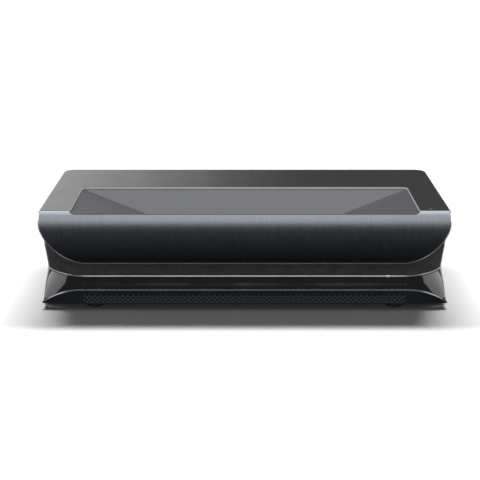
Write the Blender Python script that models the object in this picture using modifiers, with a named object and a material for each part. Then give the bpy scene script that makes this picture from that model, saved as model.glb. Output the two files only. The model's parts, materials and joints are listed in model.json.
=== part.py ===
"""Home projector: an ultra-short-throw laser projector built from its separate pieces.

Metres, +X to the viewer's right, the front faces -Y, +Z up, the feet stand on Z = 0.
"""

import math

import bmesh
import bpy
from mathutils import Matrix, Vector

# ---------------------------------------------------------------- driving dimensions
WIDTH = 0.600
DEPTH = 0.347
HEIGHT = 0.147
HALF_W = WIDTH / 2
FRONT = -DEPTH / 2
REAR = DEPTH / 2
GAP = 0.0004  # seam between neighbouring pieces

DECK_THICK = 0.003
DECK_UNDER = HEIGHT - DECK_THICK
CREASE_Y = -0.157  # where the flat deck meets the front fascia
CHEEK_INSIDE = 0.2972
CHEEK_BOTTOM = 0.0975
CHEEK_FRONT_EDGE = [(-0.168, 0.132), (-0.150, 0.113), (-0.130, 0.102), (-0.105, CHEEK_BOTTOM)]
REAR_CORNER = 0.018
DECK_FILLET = 0.0022

FASCIA_THICK = 0.0025
FASCIA_END_FILLET = 0.002
FASCIA_PROFILE = [  # (Y, Z) from the crease over the nose to the lower edge
    (CREASE_Y, HEIGHT), (-0.1620, 0.1457), (-0.1665, 0.1437), (-0.1695, 0.1408),
    (-0.1714, 0.1370), (-0.1726, 0.1325), (-0.1733, 0.1275), (FRONT, 0.1220),
    (-0.1732, 0.1150), (-0.1723, 0.1060), (-0.1706, 0.0965), (-0.1681, 0.0870),
    (-0.1648, 0.0785), (-0.1608, 0.0715), (-0.1578, 0.0675),
]
FASCIA_BOTTOM = 0.0675
FASCIA_CORNER = 0.0665
FASCIA_CORNER_POWER = 1.7

WELL_HALF_X = 0.255
WELL_REAR = 0.0215
WELL_FRONT = -0.167
WELL_CORNER = 0.009
WELL_FLOOR = 0.108
RAMP_SLOPE = 0.364
FLANK_SLOPE = 0.2407
WELL_RIM = 0.0055  # how far the well's rim reaches under the deck

WINDOW_HALF_X = 0.088
WINDOW_FRONT = -0.1455
WINDOW_REAR = -0.0840

SIDE = 0.2995  # half width of the cowls
COWL_THICK = 0.0025
LEDGE_DROP = 0.0022
COWL_CORNER_X = 0.235  # where the front starts to curve round
COWL_POWER = 1.74
COWL_END_X = 0.2725  # the cowls stop here, either side of the rear panel
WAIST_Z = 0.0455
ACCENT_HALF = 0.0012

PAN_BOTTOM = 0.006
PAN_TOP = 0.0085
PAN_RIM_TOP = 0.0165

FOOT_X = 0.2216
FOOT_FRONT_Y = -0.1400
FOOT_REAR_Y = 0.1350
FOOT_PAD_R = 0.0105
FOOT_COLLAR_R = 0.0155

PANEL_FACE = 0.1720
PANEL_THICK = 0.0025
BOARD_TOP = 0.0251
BOARD_THICK = 0.0016
CHASSIS_BOTTOM = 0.0120
CHASSIS_TOP = 0.0140
FLOOR = CHASSIS_TOP + GAP  # what stands on the chassis starts here

GRILLE_FRONT, GRILLE_REAR = -0.045, 0.135
GRILLE_LOW, GRILLE_HIGH = 0.0545, 0.0905
GRILLE_SLOTS = 18

FAN_CENTRE = (0.045, 0.0550)  # (Y, Z), both fans
FAN_HALF = 0.036
FAN_BORE = 0.0335
FAN_INNER_X, FAN_OUTER_X = 0.268, 0.290
FAN_BLADES = 7

LENS_AXIS_Z = 0.056
FOCUS_SCREW_X = 0.040
SPEAKER_X, SPEAKER_Y = 0.170, -0.0925
SPEAKER_BOX = (0.050, 0.0375, 0.0145, 0.088)  # half X, half Y, bottom, top
BUTTON_X, BUTTON_Y = 0.272, -0.1440

# ---------------------------------------------------------------- scene and materials
for old in list(bpy.data.objects):
    bpy.data.objects.remove(old, do_unlink=True)

PARTS = bpy.data.collections.new("home_projector")
CUTTERS = bpy.data.collections.new("cutters")
CUTTERS.hide_render = True
bpy.context.scene.collection.children.link(PARTS)
bpy.context.scene.collection.children.link(CUTTERS)

FINISHES = {  # slot: (colour, roughness, metallic)
    "deck_satin": ((0.075, 0.078, 0.082), 0.42, 0.0),
    "fascia_brushed": ((0.20, 0.21, 0.23), 0.34, 1.0),
    "gloss_black": ((0.022, 0.022, 0.024), 0.10, 0.0),
    "accent_champagne": ((0.62, 0.55, 0.49), 0.26, 1.0),
    "status_white": ((0.90, 0.92, 0.95), 0.30, 0.0),
    "skirt_metal": ((0.030, 0.034, 0.042), 0.38, 1.0),
    "well_matte": ((0.105, 0.107, 0.110), 0.60, 0.0),
    "window_glass": ((0.55, 0.60, 0.62), 0.05, 0.0),
    "matte_black": ((0.030, 0.030, 0.032), 0.60, 0.0),
    "pan_steel": ((0.060, 0.062, 0.066), 0.50, 1.0),
    "rubber_black": ((0.022, 0.022, 0.022), 0.85, 0.0),
    "screw_steel": ((0.50, 0.50, 0.51), 0.32, 1.0),
    "raw_aluminium": ((0.62, 0.63, 0.65), 0.38, 1.0),
    "cast_alloy": ((0.34, 0.35, 0.37), 0.52, 1.0),
    "copper": ((0.72, 0.36, 0.22), 0.30, 1.0),
    "board_green": ((0.030, 0.120, 0.060), 0.55, 0.0),
    "port_shell": ((0.46, 0.46, 0.47), 0.35, 1.0),
    "port_black": ((0.018, 0.018, 0.020), 0.45, 0.0),
    "mirror_coat": ((0.88, 0.89, 0.90), 0.03, 1.0),
    "lens_glass": ((0.40, 0.48, 0.58), 0.03, 0.0),
    "wheel_glass": ((0.75, 0.78, 0.60), 0.20, 0.0),
    "cone_paper": ((0.040, 0.040, 0.043), 0.80, 0.0),
    "fan_plastic": ((0.040, 0.040, 0.042), 0.50, 0.0),
}


def material(name, colour, roughness, metallic):
    made = bpy.data.materials.new(name)
    made.use_nodes = True
    shader = made.node_tree.nodes["Principled BSDF"]
    shader.inputs["Base Color"].default_value = (*colour, 1.0)
    shader.inputs["Roughness"].default_value = roughness
    shader.inputs["Metallic"].default_value = metallic
    return made


MATERIALS = {name: material(name, *look) for name, look in FINISHES.items()}

# ---------------------------------------------------------------- shape helpers
AXES = {  # plane coordinates (u, v) and depth w to world axes
    "X": Matrix(((0, 0, 1), (1, 0, 0), (0, 1, 0))),
    "Y": Matrix(((1, 0, 0), (0, 0, 1), (0, 1, 0))),
    "Z": Matrix.Identity(3),
}
TURNS = {  # rotation that lays a turned shape's +Z along this direction
    "+X": (0.0, math.radians(90), 0.0),
    "-X": (0.0, math.radians(-90), 0.0),
    "-Y": (math.radians(90), 0.0, 0.0),
    "+Y": (math.radians(-90), 0.0, 0.0),
    "+Z": (0.0, 0.0, 0.0),
}


def add_mesh(name, bm, slot, at=(0.0, 0.0, 0.0)):
    """A named object from a bmesh; slot None makes it a cutter or a piece to be united."""
    bmesh.ops.recalc_face_normals(bm, faces=bm.faces)
    mesh = bpy.data.meshes.new(name)
    bm.to_mesh(mesh)
    bm.free()
    obj = bpy.data.objects.new(name, mesh)
    obj.location = at
    if slot:
        PARTS.objects.link(obj)
        mesh.materials.append(MATERIALS[slot])
    else:
        CUTTERS.objects.link(obj)
        obj.hide_render = True
        obj.display_type = "WIRE"
    return obj


def box(name, x, y, z, slot=None, at=(0.0, 0.0, 0.0)):
    """A box between the (low, high) pairs x, y and z."""
    bm = bmesh.new()
    bmesh.ops.create_cube(bm, size=1.0)
    size = Vector((x[1] - x[0], y[1] - y[0], z[1] - z[0]))
    middle = Vector(((x[0] + x[1]) / 2, (y[0] + y[1]) / 2, (z[0] + z[1]) / 2))
    for vert in bm.verts:
        vert.co = Vector(a * b for a, b in zip(vert.co, size)) + middle
    return add_mesh(name, bm, slot, at)


def boxes(name, ranges, slot=None, at=(0.0, 0.0, 0.0)):
    """Several boxes that don't touch, in one mesh: a set of cutters or of ribs."""
    bm = bmesh.new()
    for x, y, z in ranges:
        made = bmesh.ops.create_cube(bm, size=1.0)["verts"]
        for vert in made:
            vert.co = Vector(
                low if part < 0 else high for part, (low, high) in zip(vert.co, (x, y, z))
            )
    return add_mesh(name, bm, slot, at)


def cylinder(name, centre, radius, length, axis, slot=None, segments=20, at=(0.0, 0.0, 0.0)):
    """A cylinder centred on a point, along X, Y or Z."""
    bm = bmesh.new()
    bmesh.ops.create_cone(
        bm, cap_ends=True, segments=segments, radius1=radius, radius2=radius, depth=length
    )
    turn = AXES[axis].to_4x4() if axis != "Z" else Matrix.Identity(4)
    bmesh.ops.transform(bm, matrix=Matrix.Translation(centre) @ turn, verts=bm.verts)
    return add_mesh(name, bm, slot, at)


def prism(name, outline, axis, low, high, slot=None, holes=(), at=(0.0, 0.0, 0.0)):
    """A flat outline, with holes, drawn across an axis and extruded between two places on it."""
    curve = bpy.data.curves.new(name, "CURVE")
    curve.dimensions = "2D"
    curve.fill_mode = "BOTH"
    curve.extrude = (high - low) / 2
    for loop in (outline, *holes):
        spline = curve.splines.new("POLY")
        spline.points.add(len(loop) - 1)
        for point, (u, v) in zip(spline.points, loop):
            point.co = (u, v, 0.0, 1.0)
        spline.use_cyclic_u = True
    flat = bpy.data.objects.new(name + "_outline", curve)
    CUTTERS.objects.link(flat)
    graph = bpy.context.evaluated_depsgraph_get()
    mesh = bpy.data.meshes.new_from_object(flat.evaluated_get(graph))
    bpy.data.objects.remove(flat, do_unlink=True)
    bm = bmesh.new()
    bm.from_mesh(mesh)
    bmesh.ops.remove_doubles(bm, verts=bm.verts, dist=1e-6)
    for vert in bm.verts:
        vert.co.z += (low + high) / 2
    bmesh.ops.transform(bm, matrix=AXES[axis].to_4x4(), verts=bm.verts)
    if not holes:
        bmesh.ops.dissolve_limit(bm, angle_limit=0.001, verts=bm.verts, edges=bm.edges)
    return add_mesh(name, bm, slot, at)


def lathe(name, profile, direction, at, slot=None, segments=24, smooth=True):
    """A turned shape: (radius, height) points, down the outer side from top to bottom."""
    bm = bmesh.new()
    verts = [bm.verts.new((radius, 0.0, height)) for radius, height in profile]
    for one, two in zip(verts, verts[1:]):
        bm.edges.new((one, two))
    if profile[0][0] > 0:
        bm.edges.new((verts[-1], verts[0]))
    obj = add_mesh(name, bm, slot, at)
    obj.rotation_euler = TURNS[direction]
    screw = obj.modifiers.new("turn", "SCREW")
    screw.steps = segments
    screw.render_steps = segments
    screw.use_merge_vertices = True
    screw.merge_threshold = 0.00002
    screw.use_smooth_shade = smooth
    return obj


def sheet(name, outer, inner, slot=None, at=(0.0, 0.0, 0.0)):
    """The closed body between two matching grids of points, row by row."""
    bm = bmesh.new()
    out, ins = [[[bm.verts.new(p) for p in row] for row in grid] for grid in (outer, inner)]
    rows, columns = len(outer), len(outer[0])
    for skin in (out, ins):
        for r in range(rows - 1):
            for c in range(columns - 1):
                bm.faces.new((skin[r][c], skin[r][c + 1], skin[r + 1][c + 1], skin[r + 1][c]))
    for r in (0, rows - 1):
        for c in range(columns - 1):
            bm.faces.new((out[r][c], out[r][c + 1], ins[r][c + 1], ins[r][c]))
    for c in (0, columns - 1):
        for r in range(rows - 1):
            bm.faces.new((out[r][c], out[r + 1][c], ins[r + 1][c], ins[r][c]))
    return add_mesh(name, bm, slot, at)


def tube(name, points, radius, slot):
    """A round pipe along a path of points, with closed ends."""
    curve = bpy.data.curves.new(name, "CURVE")
    curve.dimensions = "3D"
    curve.bevel_depth = radius
    curve.bevel_resolution = 2
    curve.use_fill_caps = True
    spline = curve.splines.new("POLY")
    spline.points.add(len(points) - 1)
    for point, place in zip(spline.points, points):
        point.co = (*place, 1.0)
    obj = bpy.data.objects.new(name, curve)
    PARTS.objects.link(obj)
    curve.materials.append(MATERIALS[slot])
    return obj


def boolean(body, other, operation):
    step = body.modifiers.new(operation.lower(), "BOOLEAN")
    step.operation = operation
    step.object = other
    step.solver = "EXACT"


def cut(body, *others):
    for other in others:
        boolean(body, other, "DIFFERENCE")


def unite(body, *others):
    for other in others:
        boolean(body, other, "UNION")


def bevel_edges(obj, width, segments, wanted=None, along=None):
    """Rounds the edges of the base mesh whose ends both pass a test and that run along an axis."""
    bm = bmesh.new()
    bm.from_mesh(obj.data)
    edges = []
    for edge in bm.edges:
        one, two = (vert.co for vert in edge.verts)
        if wanted and not (wanted(one) and wanted(two)):
            continue
        if along is None or abs((two - one).normalized()[along]) > 0.999:
            edges.append(edge)
    bmesh.ops.bevel(
        bm, geom=edges, offset=width, segments=segments, profile=0.5, affect="EDGES"
    )
    bm.to_mesh(obj.data)
    bm.free()


def smooth(obj, angle=30):
    """Shades a round or curved piece smooth, keeping its real edges sharp."""
    obj.data.shade_smooth()
    obj.data.set_sharp_from_angle(angle=math.radians(angle))


# ---------------------------------------------------------------- outline helpers
def arc(centre, radius, start, stop, steps):
    """Points on a circle, angles in degrees."""
    turns = [math.radians(start + (stop - start) * i / steps) for i in range(steps + 1)]
    return [
        (centre[0] + radius * math.cos(turn), centre[1] + radius * math.sin(turn))
        for turn in turns
    ]


def circle(centre, radius, segments):
    return arc(centre, radius, 0, 360, segments)[:-1]


def rounded(u, v, radius, steps=4):
    """A rectangle between the (low, high) pairs u and v, with rounded corners."""
    loop = []
    corners = ((u[1], v[1], 0), (u[0], v[1], 90), (u[0], v[0], 180), (u[1], v[0], 270))
    for at_u, at_v, start in corners:
        centre = (
            at_u - radius if at_u == u[1] else at_u + radius,
            at_v - radius if at_v == v[1] else at_v + radius,
        )
        loop += arc(centre, radius, start, start + 90, steps)
    return loop


def rectangle(u, v):
    return [(u[0], v[0]), (u[1], v[0]), (u[1], v[1]), (u[0], v[1])]


def bend(centre, radii, power, steps):
    """A quarter of a superellipse, from its end on +v to its end on +u."""
    turns = [math.radians(90) * i / steps for i in range(steps + 1)]
    return [
        (
            centre[0] + radii[0] * math.sin(turn) ** (2 / power),
            centre[1] + radii[1] * math.cos(turn) ** (2 / power),
        )
        for turn in turns
    ]


def offset(path, distance):
    """The open path moved to its left by a distance, corners mitred."""
    moved = []
    for i, (u, v) in enumerate(path):
        before = path[max(i - 1, 0)]
        after = path[min(i + 1, len(path) - 1)]
        sides = []
        for (u0, v0), (u1, v1) in ((before, (u, v)), ((u, v), after)):
            length = math.hypot(u1 - u0, v1 - v0)
            if length > 1e-9:
                sides.append(((v0 - v1) / length, (u1 - u0) / length))
        mean_u = sum(side[0] for side in sides)
        mean_v = sum(side[1] for side in sides)
        size = math.hypot(mean_u, mean_v)
        mean_u, mean_v = mean_u / size, mean_v / size
        along = mean_u * sides[0][0] + mean_v * sides[0][1]
        moved.append((u + mean_u * distance / along, v + mean_v * distance / along))
    return moved


def mirrored(right_half):
    """A path from the left end through the middle to the right end, from its right half."""
    left = [(-u, v) for u, v in reversed(right_half) if u > 1e-6]
    return left + right_half


def cowl_path(front, start, side=SIDE, steps=9):
    """The plan of the cowls: the front, a corner that opens into the side, the rear corner."""
    inward = SIDE - side
    rear = REAR - max(inward, 0.0)
    radius = REAR_CORNER - inward
    corner = bend((COWL_CORNER_X, start), (side - COWL_CORNER_X, front - start), COWL_POWER, steps)
    tail = arc((side - radius, rear - radius), radius, 0, 90, 4)
    straight = [(side, start + 0.0105), (side, 0.0)]
    ahead = [(0.0, front), (0.120, front)]
    return mirrored([*ahead, *corner, *straight, *tail, (COWL_END_X, rear)])


def with_z(path, height):
    """Lifts a plan path to 3-D; height is a number or a function of the plan point."""
    if callable(height):
        return [(x, y, height(x, y)) for x, y in path]
    return [(x, y, height) for x, y in path]


def interpolate(pairs, at):
    """Straight lines through (place, value) pairs, held level beyond both ends."""
    if at <= pairs[0][0]:
        return pairs[0][1]
    for (a, va), (b, vb) in zip(pairs, pairs[1:]):
        if at <= b:
            return va + (vb - va) * (at - a) / (b - a)
    return pairs[-1][1]


# ---------------------------------------------------------------- top cover and fascia
def well_cutter(name, low):
    """The plan of the light well, cut down through the deck and the nose."""
    outline = rounded((-WELL_HALF_X, WELL_HALF_X), (WELL_FRONT, WELL_REAR), WELL_CORNER)
    return prism(name, outline, "Z", low, HEIGHT + 0.01)


def build_top_cover():
    nose = offset(FASCIA_PROFILE, FASCIA_THICK + GAP)
    under_fascia = [point for point in nose if point[0] < CREASE_Y - 0.001 and point[1] > 0.132]
    outline = [
        (REAR, CHEEK_BOTTOM),
        (REAR, HEIGHT),
        (CREASE_Y + GAP, HEIGHT),
        (CREASE_Y + GAP, DECK_UNDER),
        *under_fascia,
        *CHEEK_FRONT_EDGE,
    ]
    cover = prism("top_cover", outline, "X", -HALF_W, HALF_W, "deck_satin")
    bevel_edges(cover, REAR_CORNER, 5, lambda co: co.y > REAR - 1e-5, along=2)
    bevel_edges(
        cover,
        DECK_FILLET,
        2,
        lambda co: co.z > HEIGHT - 1e-5
        and (abs(co.x) > HALF_W - 1e-5 or co.y > REAR - REAR_CORNER - 1e-5),
    )
    smooth(cover, 25)
    inner_corner = REAR_CORNER - (HALF_W - CHEEK_INSIDE)
    rear_inside = REAR - DECK_THICK
    right_half = [
        (CHEEK_INSIDE, FRONT - 0.05),
        *arc((CHEEK_INSIDE - inner_corner, rear_inside - inner_corner), inner_corner, 0, 90, 5),
    ]
    hollow = mirrored(right_half)
    cut(
        cover,
        prism("cut_cover_hollow", hollow, "Z", 0.05, DECK_UNDER),
        well_cutter("cut_cover_well", DECK_UNDER - 0.01),
        cylinder("cut_button_hole", (BUTTON_X, BUTTON_Y, HEIGHT), 0.0049, 0.02, "Z", segments=24),
    )


def build_fascia():
    ends = [0.0, 0.0006, 0.00125, FASCIA_END_FILLET]
    columns = []
    for step in ends:
        drop = FASCIA_END_FILLET - math.sqrt(max(FASCIA_END_FILLET**2 - step**2, 0.0))
        columns.append((HALF_W - FASCIA_END_FILLET + step, drop))
    columns = [(-x, drop) for x, drop in reversed(columns)] + columns
    inner_profile = offset(FASCIA_PROFILE, FASCIA_THICK)
    inner_profile[0] = (CREASE_Y, HEIGHT - FASCIA_THICK)
    outer = []
    inner = []
    for row, (y, z) in enumerate(FASCIA_PROFILE):
        inside = Vector(inner_profile[row]) - Vector((y, z))
        inward = inside.normalized()
        outer.append([(x, y + inward.x * drop, z + inward.y * drop) for x, drop in columns])
        inner.append([(x, *inner_profile[row]) for x, _ in columns])
    fascia = sheet("front_fascia", outer, inner, "fascia_brushed")
    smooth(fascia, 40)
    corner_z = FASCIA_BOTTOM + FASCIA_CORNER - 0.0005
    corner = bend(
        (HALF_W - FASCIA_CORNER, corner_z),
        (FASCIA_CORNER + 0.0002, -FASCIA_CORNER),
        FASCIA_CORNER_POWER,
        14,
    )
    right_half = [*corner, (HALF_W + 0.002, corner_z), (HALF_W + 0.002, HEIGHT + 0.01)]
    keep = mirrored(right_half)
    boolean(fascia, prism("keep_fascia_front", keep, "Y", -0.20, -0.13), "INTERSECT")
    cut(fascia, well_cutter("cut_fascia_well", 0.130))


# ---------------------------------------------------------------- light well and window
def frustum(name, top, bottom, slot=None):
    """A solid between two level rectangles, each (half X, front Y, rear Y, Z)."""
    bm = bmesh.new()
    bmesh.ops.create_cube(bm, size=2.0)
    for vert in bm.verts:
        half_x, front, rear, z = top if vert.co.z > 0 else bottom
        vert.co = (half_x * vert.co.x, rear if vert.co.y > 0 else front, z)
    return add_mesh(name, bm, slot)


def build_light_well():
    top_z = DECK_UNDER - GAP
    depth = DECK_UNDER - WELL_FLOOR
    pit = frustum(
        "cut_pit",
        (WELL_HALF_X, -0.1645, WELL_REAR, DECK_UNDER),
        (WELL_HALF_X - depth / FLANK_SLOPE, -0.150, WELL_REAR - depth / RAMP_SLOPE, WELL_FLOOR),
    )
    under = 0.105
    fall = top_z - under
    well = frustum(
        "light_well",
        (WELL_HALF_X + WELL_RIM, WELL_FRONT + GAP, WELL_REAR + WELL_RIM, top_z),
        (
            WELL_HALF_X + WELL_RIM - fall / FLANK_SLOPE,
            -0.1535,
            WELL_REAR + WELL_RIM - fall / RAMP_SLOPE,
            under,
        ),
        "well_matte",
    )
    window_hole = rounded((-WINDOW_HALF_X, WINDOW_HALF_X), (WINDOW_FRONT, WINDOW_REAR), 0.004, 3)
    under_nose = [
        (sorted((sign * 0.2445, sign * 0.2700)), (-0.20, CREASE_Y + 0.0015), (0.1400, 0.15))
        for sign in (-1, 1)
    ]
    cut(
        well,
        pit,
        prism("cut_window_hole", window_hole, "Z", 0.10, 0.115),
        ramp_grooves(),
        boxes("cut_well_ends", under_nose),
    )

    rim = 0.0030
    bezel_outer = rounded(
        (-WINDOW_HALF_X - rim, WINDOW_HALF_X + rim),
        (WINDOW_FRONT - rim, WINDOW_REAR + rim),
        0.006,
        3,
    )
    low = WELL_FLOOR + GAP
    prism("window_bezel", bezel_outer, "Z", low, low + 0.0012, "gloss_black", [window_hole])
    pane = rounded((-0.094, 0.094), (-0.150, -0.080), 0.004, 3)
    prism("lens_window", pane, "Z", 0.1024, 0.1046, "window_glass")


def ramp_grooves():
    """Shallow level grooves across the ramp, as wide as the ramp is at each place."""
    ranges = []
    for i in range(8):
        y = WELL_REAR - 0.0075 - 0.0085 * i
        z = DECK_UNDER - RAMP_SLOPE * (WELL_REAR - y)
        half_x = WELL_HALF_X - (WELL_REAR - y) * RAMP_SLOPE / FLANK_SLOPE - 0.010
        ranges.append(((-half_x, half_x), (y - 0.0006, y + 0.0006), (z - 0.0007, z + 0.004)))
    return boxes("cut_ramp_grooves", ranges)


# ---------------------------------------------------------------- waist cowls and skirt
def cheek_edge(y):
    return interpolate(CHEEK_FRONT_EDGE, y)


def cowl(name, levels, slot):
    """A cowl from (front, start of the side, half width, height) levels, bottom to top.

    A level's fifth value, where it has one, lowers the inside to thicken a ledge.
    """
    outer = []
    inner = []
    for front, start, side, height, *ledge in levels:
        path = cowl_path(front, start, side)
        inset = offset(path, COWL_THICK)
        drop = sum(ledge)
        outer.append(with_z(path, height))
        inner.append([(x, y, level[2] - drop) for (x, y), level in zip(inset, outer[-1])])
    made = sheet(name, outer, inner, slot)
    smooth(made, 40)
    return made


def ledge_height(x, y):
    """The cowl's shoulder: under the cheek at the sides, below the light well in the middle."""
    return min(cheek_edge(y) - GAP, interpolate([(0.120, 0.098), (COWL_CORNER_X, 0.124)], abs(x)))


def lip_height(x, y):
    return min(cheek_edge(y) + 0.012, interpolate([(0.120, 0.101), (COWL_CORNER_X, 0.1245)], abs(x)))


def build_cowls():
    ledge_side = CHEEK_INSIDE - 0.0010
    upper = cowl(
        "upper_cowl",
        [
            (-0.1460, -0.0715, SIDE, WAIST_Z + ACCENT_HALF + GAP),
            (-0.1475, -0.0840, SIDE, 0.058),
            (-0.1490, -0.0950, SIDE, 0.070),
            (-0.1500, -0.1080, SIDE, 0.084),
            (-0.1500, -0.1150, SIDE, ledge_height, LEDGE_DROP),
            (-0.1488, -0.1140, ledge_side, ledge_height, LEDGE_DROP),
            (-0.1560, -0.1210, ledge_side, lip_height),
        ],
        "gloss_black",
    )
    opening = rounded(
        (GRILLE_FRONT - GAP, GRILLE_REAR + GAP), (GRILLE_LOW - GAP, GRILLE_HIGH + GAP), 0.006
    )
    for side_name, sign in (("left", -1), ("right", 1)):
        near, far = sorted((sign * 0.290, sign * 0.310))
        cut(upper, prism(f"cut_grille_{side_name}", opening, "X", near, far))
        build_grille(side_name, sign)

    cowl(
        "lower_cowl",
        [
            (-0.1500, -0.1310, SIDE, PAN_BOTTOM),
            (-0.1500, -0.1170, SIDE, 0.017),
            (-0.1485, -0.0980, SIDE, 0.029),
            (-0.1470, -0.0830, SIDE, 0.037),
            (-0.1460, -0.0715, SIDE, WAIST_Z - ACCENT_HALF - GAP),
        ],
        "gloss_black",
    )
    path = cowl_path(-0.1464, -0.0705, SIDE + 0.0003)
    inset = offset(path, 0.0030)
    rows = (WAIST_Z - ACCENT_HALF, WAIST_Z + ACCENT_HALF)
    strip = sheet(
        "accent_strip",
        [with_z(path, z) for z in rows],
        [with_z(inset, z) for z in rows],
        "accent_champagne",
    )
    smooth(strip)
    lamp_x = 0.2115
    lamp_y = -0.1466
    notch = 0.0034
    cut(
        strip,
        box(
            "cut_lamp_notch",
            (lamp_x - notch, lamp_x + notch),
            (lamp_y - 0.002, lamp_y + 0.0018),
            (0.04, 0.05),
        ),
    )
    box(
        "status_light",
        (lamp_x - notch + GAP, lamp_x + notch - GAP),
        (lamp_y, lamp_y + 0.0015),
        rows,
        "status_white",
    )


def build_grille(side_name, sign):
    outline = rounded((GRILLE_FRONT, GRILLE_REAR), (GRILLE_LOW, GRILLE_HIGH), 0.0056)
    pitch = (GRILLE_REAR - GRILLE_FRONT - 0.010) / GRILLE_SLOTS
    slots = []
    for i in range(GRILLE_SLOTS):
        middle = GRILLE_FRONT + 0.005 + pitch * (i + 0.5)
        slots.append(
            rectangle((middle - 0.0031, middle + 0.0031), (GRILLE_LOW + 0.005, GRILLE_HIGH - 0.005))
        )
    near, far = sorted((sign * 0.2972, sign * 0.2993))
    prism(f"side_grille_{side_name}", outline, "X", near, far, "matte_black", slots)


def skirt_top(x):
    past = max(abs(x) - 0.240, 0.0) / 0.0583
    return 0.0284 - 0.0188 * past**2.15


def build_skirt():
    low = 0.0088
    flange = low + 0.0018
    tip_x = 0.2983
    xs = [0.0, 0.12, 0.225, 0.240, 0.250, 0.259, 0.267, 0.275, 0.283, 0.2905, tip_x]

    def bow(x, front, tip):
        """Plan Y of an edge that runs straight, then eases back to the tip."""
        past = max(abs(x) - 0.225, 0.0) / (tip_x - 0.225)
        return front + (tip - front) * past**2

    upper = mirrored([(x, bow(x, -0.1550, -0.1580)) for x in xs])
    lower = mirrored([(x, bow(x, -0.1660, -0.1600)) for x in xs])
    middle = [(x, (y0 * 0.4 + y1 * 0.6)) for (x, y0), (_, y1) in zip(upper, lower)]
    back = [(x, interpolate_path(cowl_path(-0.1500, -0.1310), x) - GAP) for x, _ in upper]
    thick = 0.0016
    outer = [
        [(x, y, skirt_top(x)) for x, y in upper],
        [(x, y, low + (skirt_top(x) - low) * 0.45) for x, y in middle],
        [(x, y, low) for x, y in lower],
        [(x, y, low) for x, y in back],
    ]
    inner = [
        [(x, y + thick, skirt_top(x) - 0.0002) for x, y in upper],
        [(x, y + thick, low + (skirt_top(x) - low) * 0.45) for x, y in middle],
        [(x, y + thick, min(flange, skirt_top(x) - 0.0004)) for x, y in lower],
        [(x, y, min(flange, skirt_top(x) - 0.0004)) for x, y in back],
    ]
    skirt = sheet("front_skirt", outer, inner, "skirt_metal")
    smooth(skirt)


def interpolate_path(path, x):
    """Plan Y of the front of a cowl path at a given X."""
    front_run = [point for point in path if point[1] < -0.12 or abs(point[0]) < COWL_CORNER_X]
    return interpolate(sorted(front_run), x)


# ---------------------------------------------------------------- base and feet
def pan_outline(inset):
    path = cowl_path(-0.1462 + inset, -0.1120, SIDE - 0.0032 - inset)
    return [point for point in path if abs(point[0]) > COWL_END_X + 1e-6 or point[1] < 0]


def build_base():
    pan = prism("base_pan", pan_outline(0.0), "Z", PAN_BOTTOM, PAN_RIM_TOP, "pan_steel")
    cut(pan, prism("cut_pan_pocket", pan_outline(0.002), "Z", PAN_TOP, 0.03))
    vents = []
    for sign in (-1, 1):
        for i in range(5):
            middle = sign * SPEAKER_X + (i - 2) * 0.010
            vents.append(
                (
                    (middle - 0.0025, middle + 0.0025),
                    (SPEAKER_Y - 0.018, SPEAKER_Y + 0.018),
                    (0.0, 0.012),
                )
            )
        for i in range(7):
            middle = sign * 0.190 + (i - 3) * 0.012
            vents.append(((middle - 0.0025, middle + 0.0025), (0.020, 0.070), (0.0, 0.012)))
    cut(pan, boxes("cut_pan_vents", vents))
    for sign in (-1, 1):
        side_name = "left" if sign < 0 else "right"
        place = (sign * FOOT_X, FOOT_FRONT_Y, 0.0)
        boss = cylinder(f"add_boss_{side_name}", (0, 0, 0.0165), 0.0046, 0.019, "Z", at=place)
        unite(pan, boss)
        bore = cylinder(f"cut_bore_{side_name}", (0, 0, 0.016), 0.0030, 0.03, "Z", at=place)
        cut(pan, bore)
        build_front_foot(side_name, place)
        rear_place = (sign * FOOT_X, FOOT_REAR_Y, 0.0)
        profile = [(0.0, 0.0056), (0.0151, 0.0056), (FOOT_COLLAR_R, 0.0050)]
        profile += [(FOOT_COLLAR_R, 0.0032), (FOOT_PAD_R, 0.0027), (FOOT_PAD_R, 0.0)]
        lathe(f"foot_rear_{side_name}", [*profile, (0.0, 0.0)], "+Z", rear_place, "rubber_black")
    for x, y in ((-0.24, -0.02), (0.24, -0.02), (-0.24, 0.15), (0.24, 0.15), (0.0, -0.10)):
        post = cylinder("add_pan_post", (x, y, 0.0099), 0.004, 0.0032, "Z", segments=12)
        unite(pan, post)


def build_front_foot(side_name, place):
    profile = [(0.0, 0.0240), (0.0021, 0.0240), (0.0026, 0.0233), (0.0026, 0.0056)]
    profile += [(0.0151, 0.0056), (FOOT_COLLAR_R, 0.0050), (FOOT_COLLAR_R, 0.0036)]
    profile += [(0.0151, 0.0031), (0.0, 0.0031)]
    lathe(f"foot_screw_{side_name}", profile, "+Z", place, "matte_black")
    pad = [(0.0, 0.0027), (FOOT_PAD_R, 0.0027), (FOOT_PAD_R, 0.0004)]
    pad += [(FOOT_PAD_R - 0.0004, 0.0), (0.0, 0.0)]
    lathe(f"foot_pad_{side_name}", pad, "+Z", place, "rubber_black")


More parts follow.
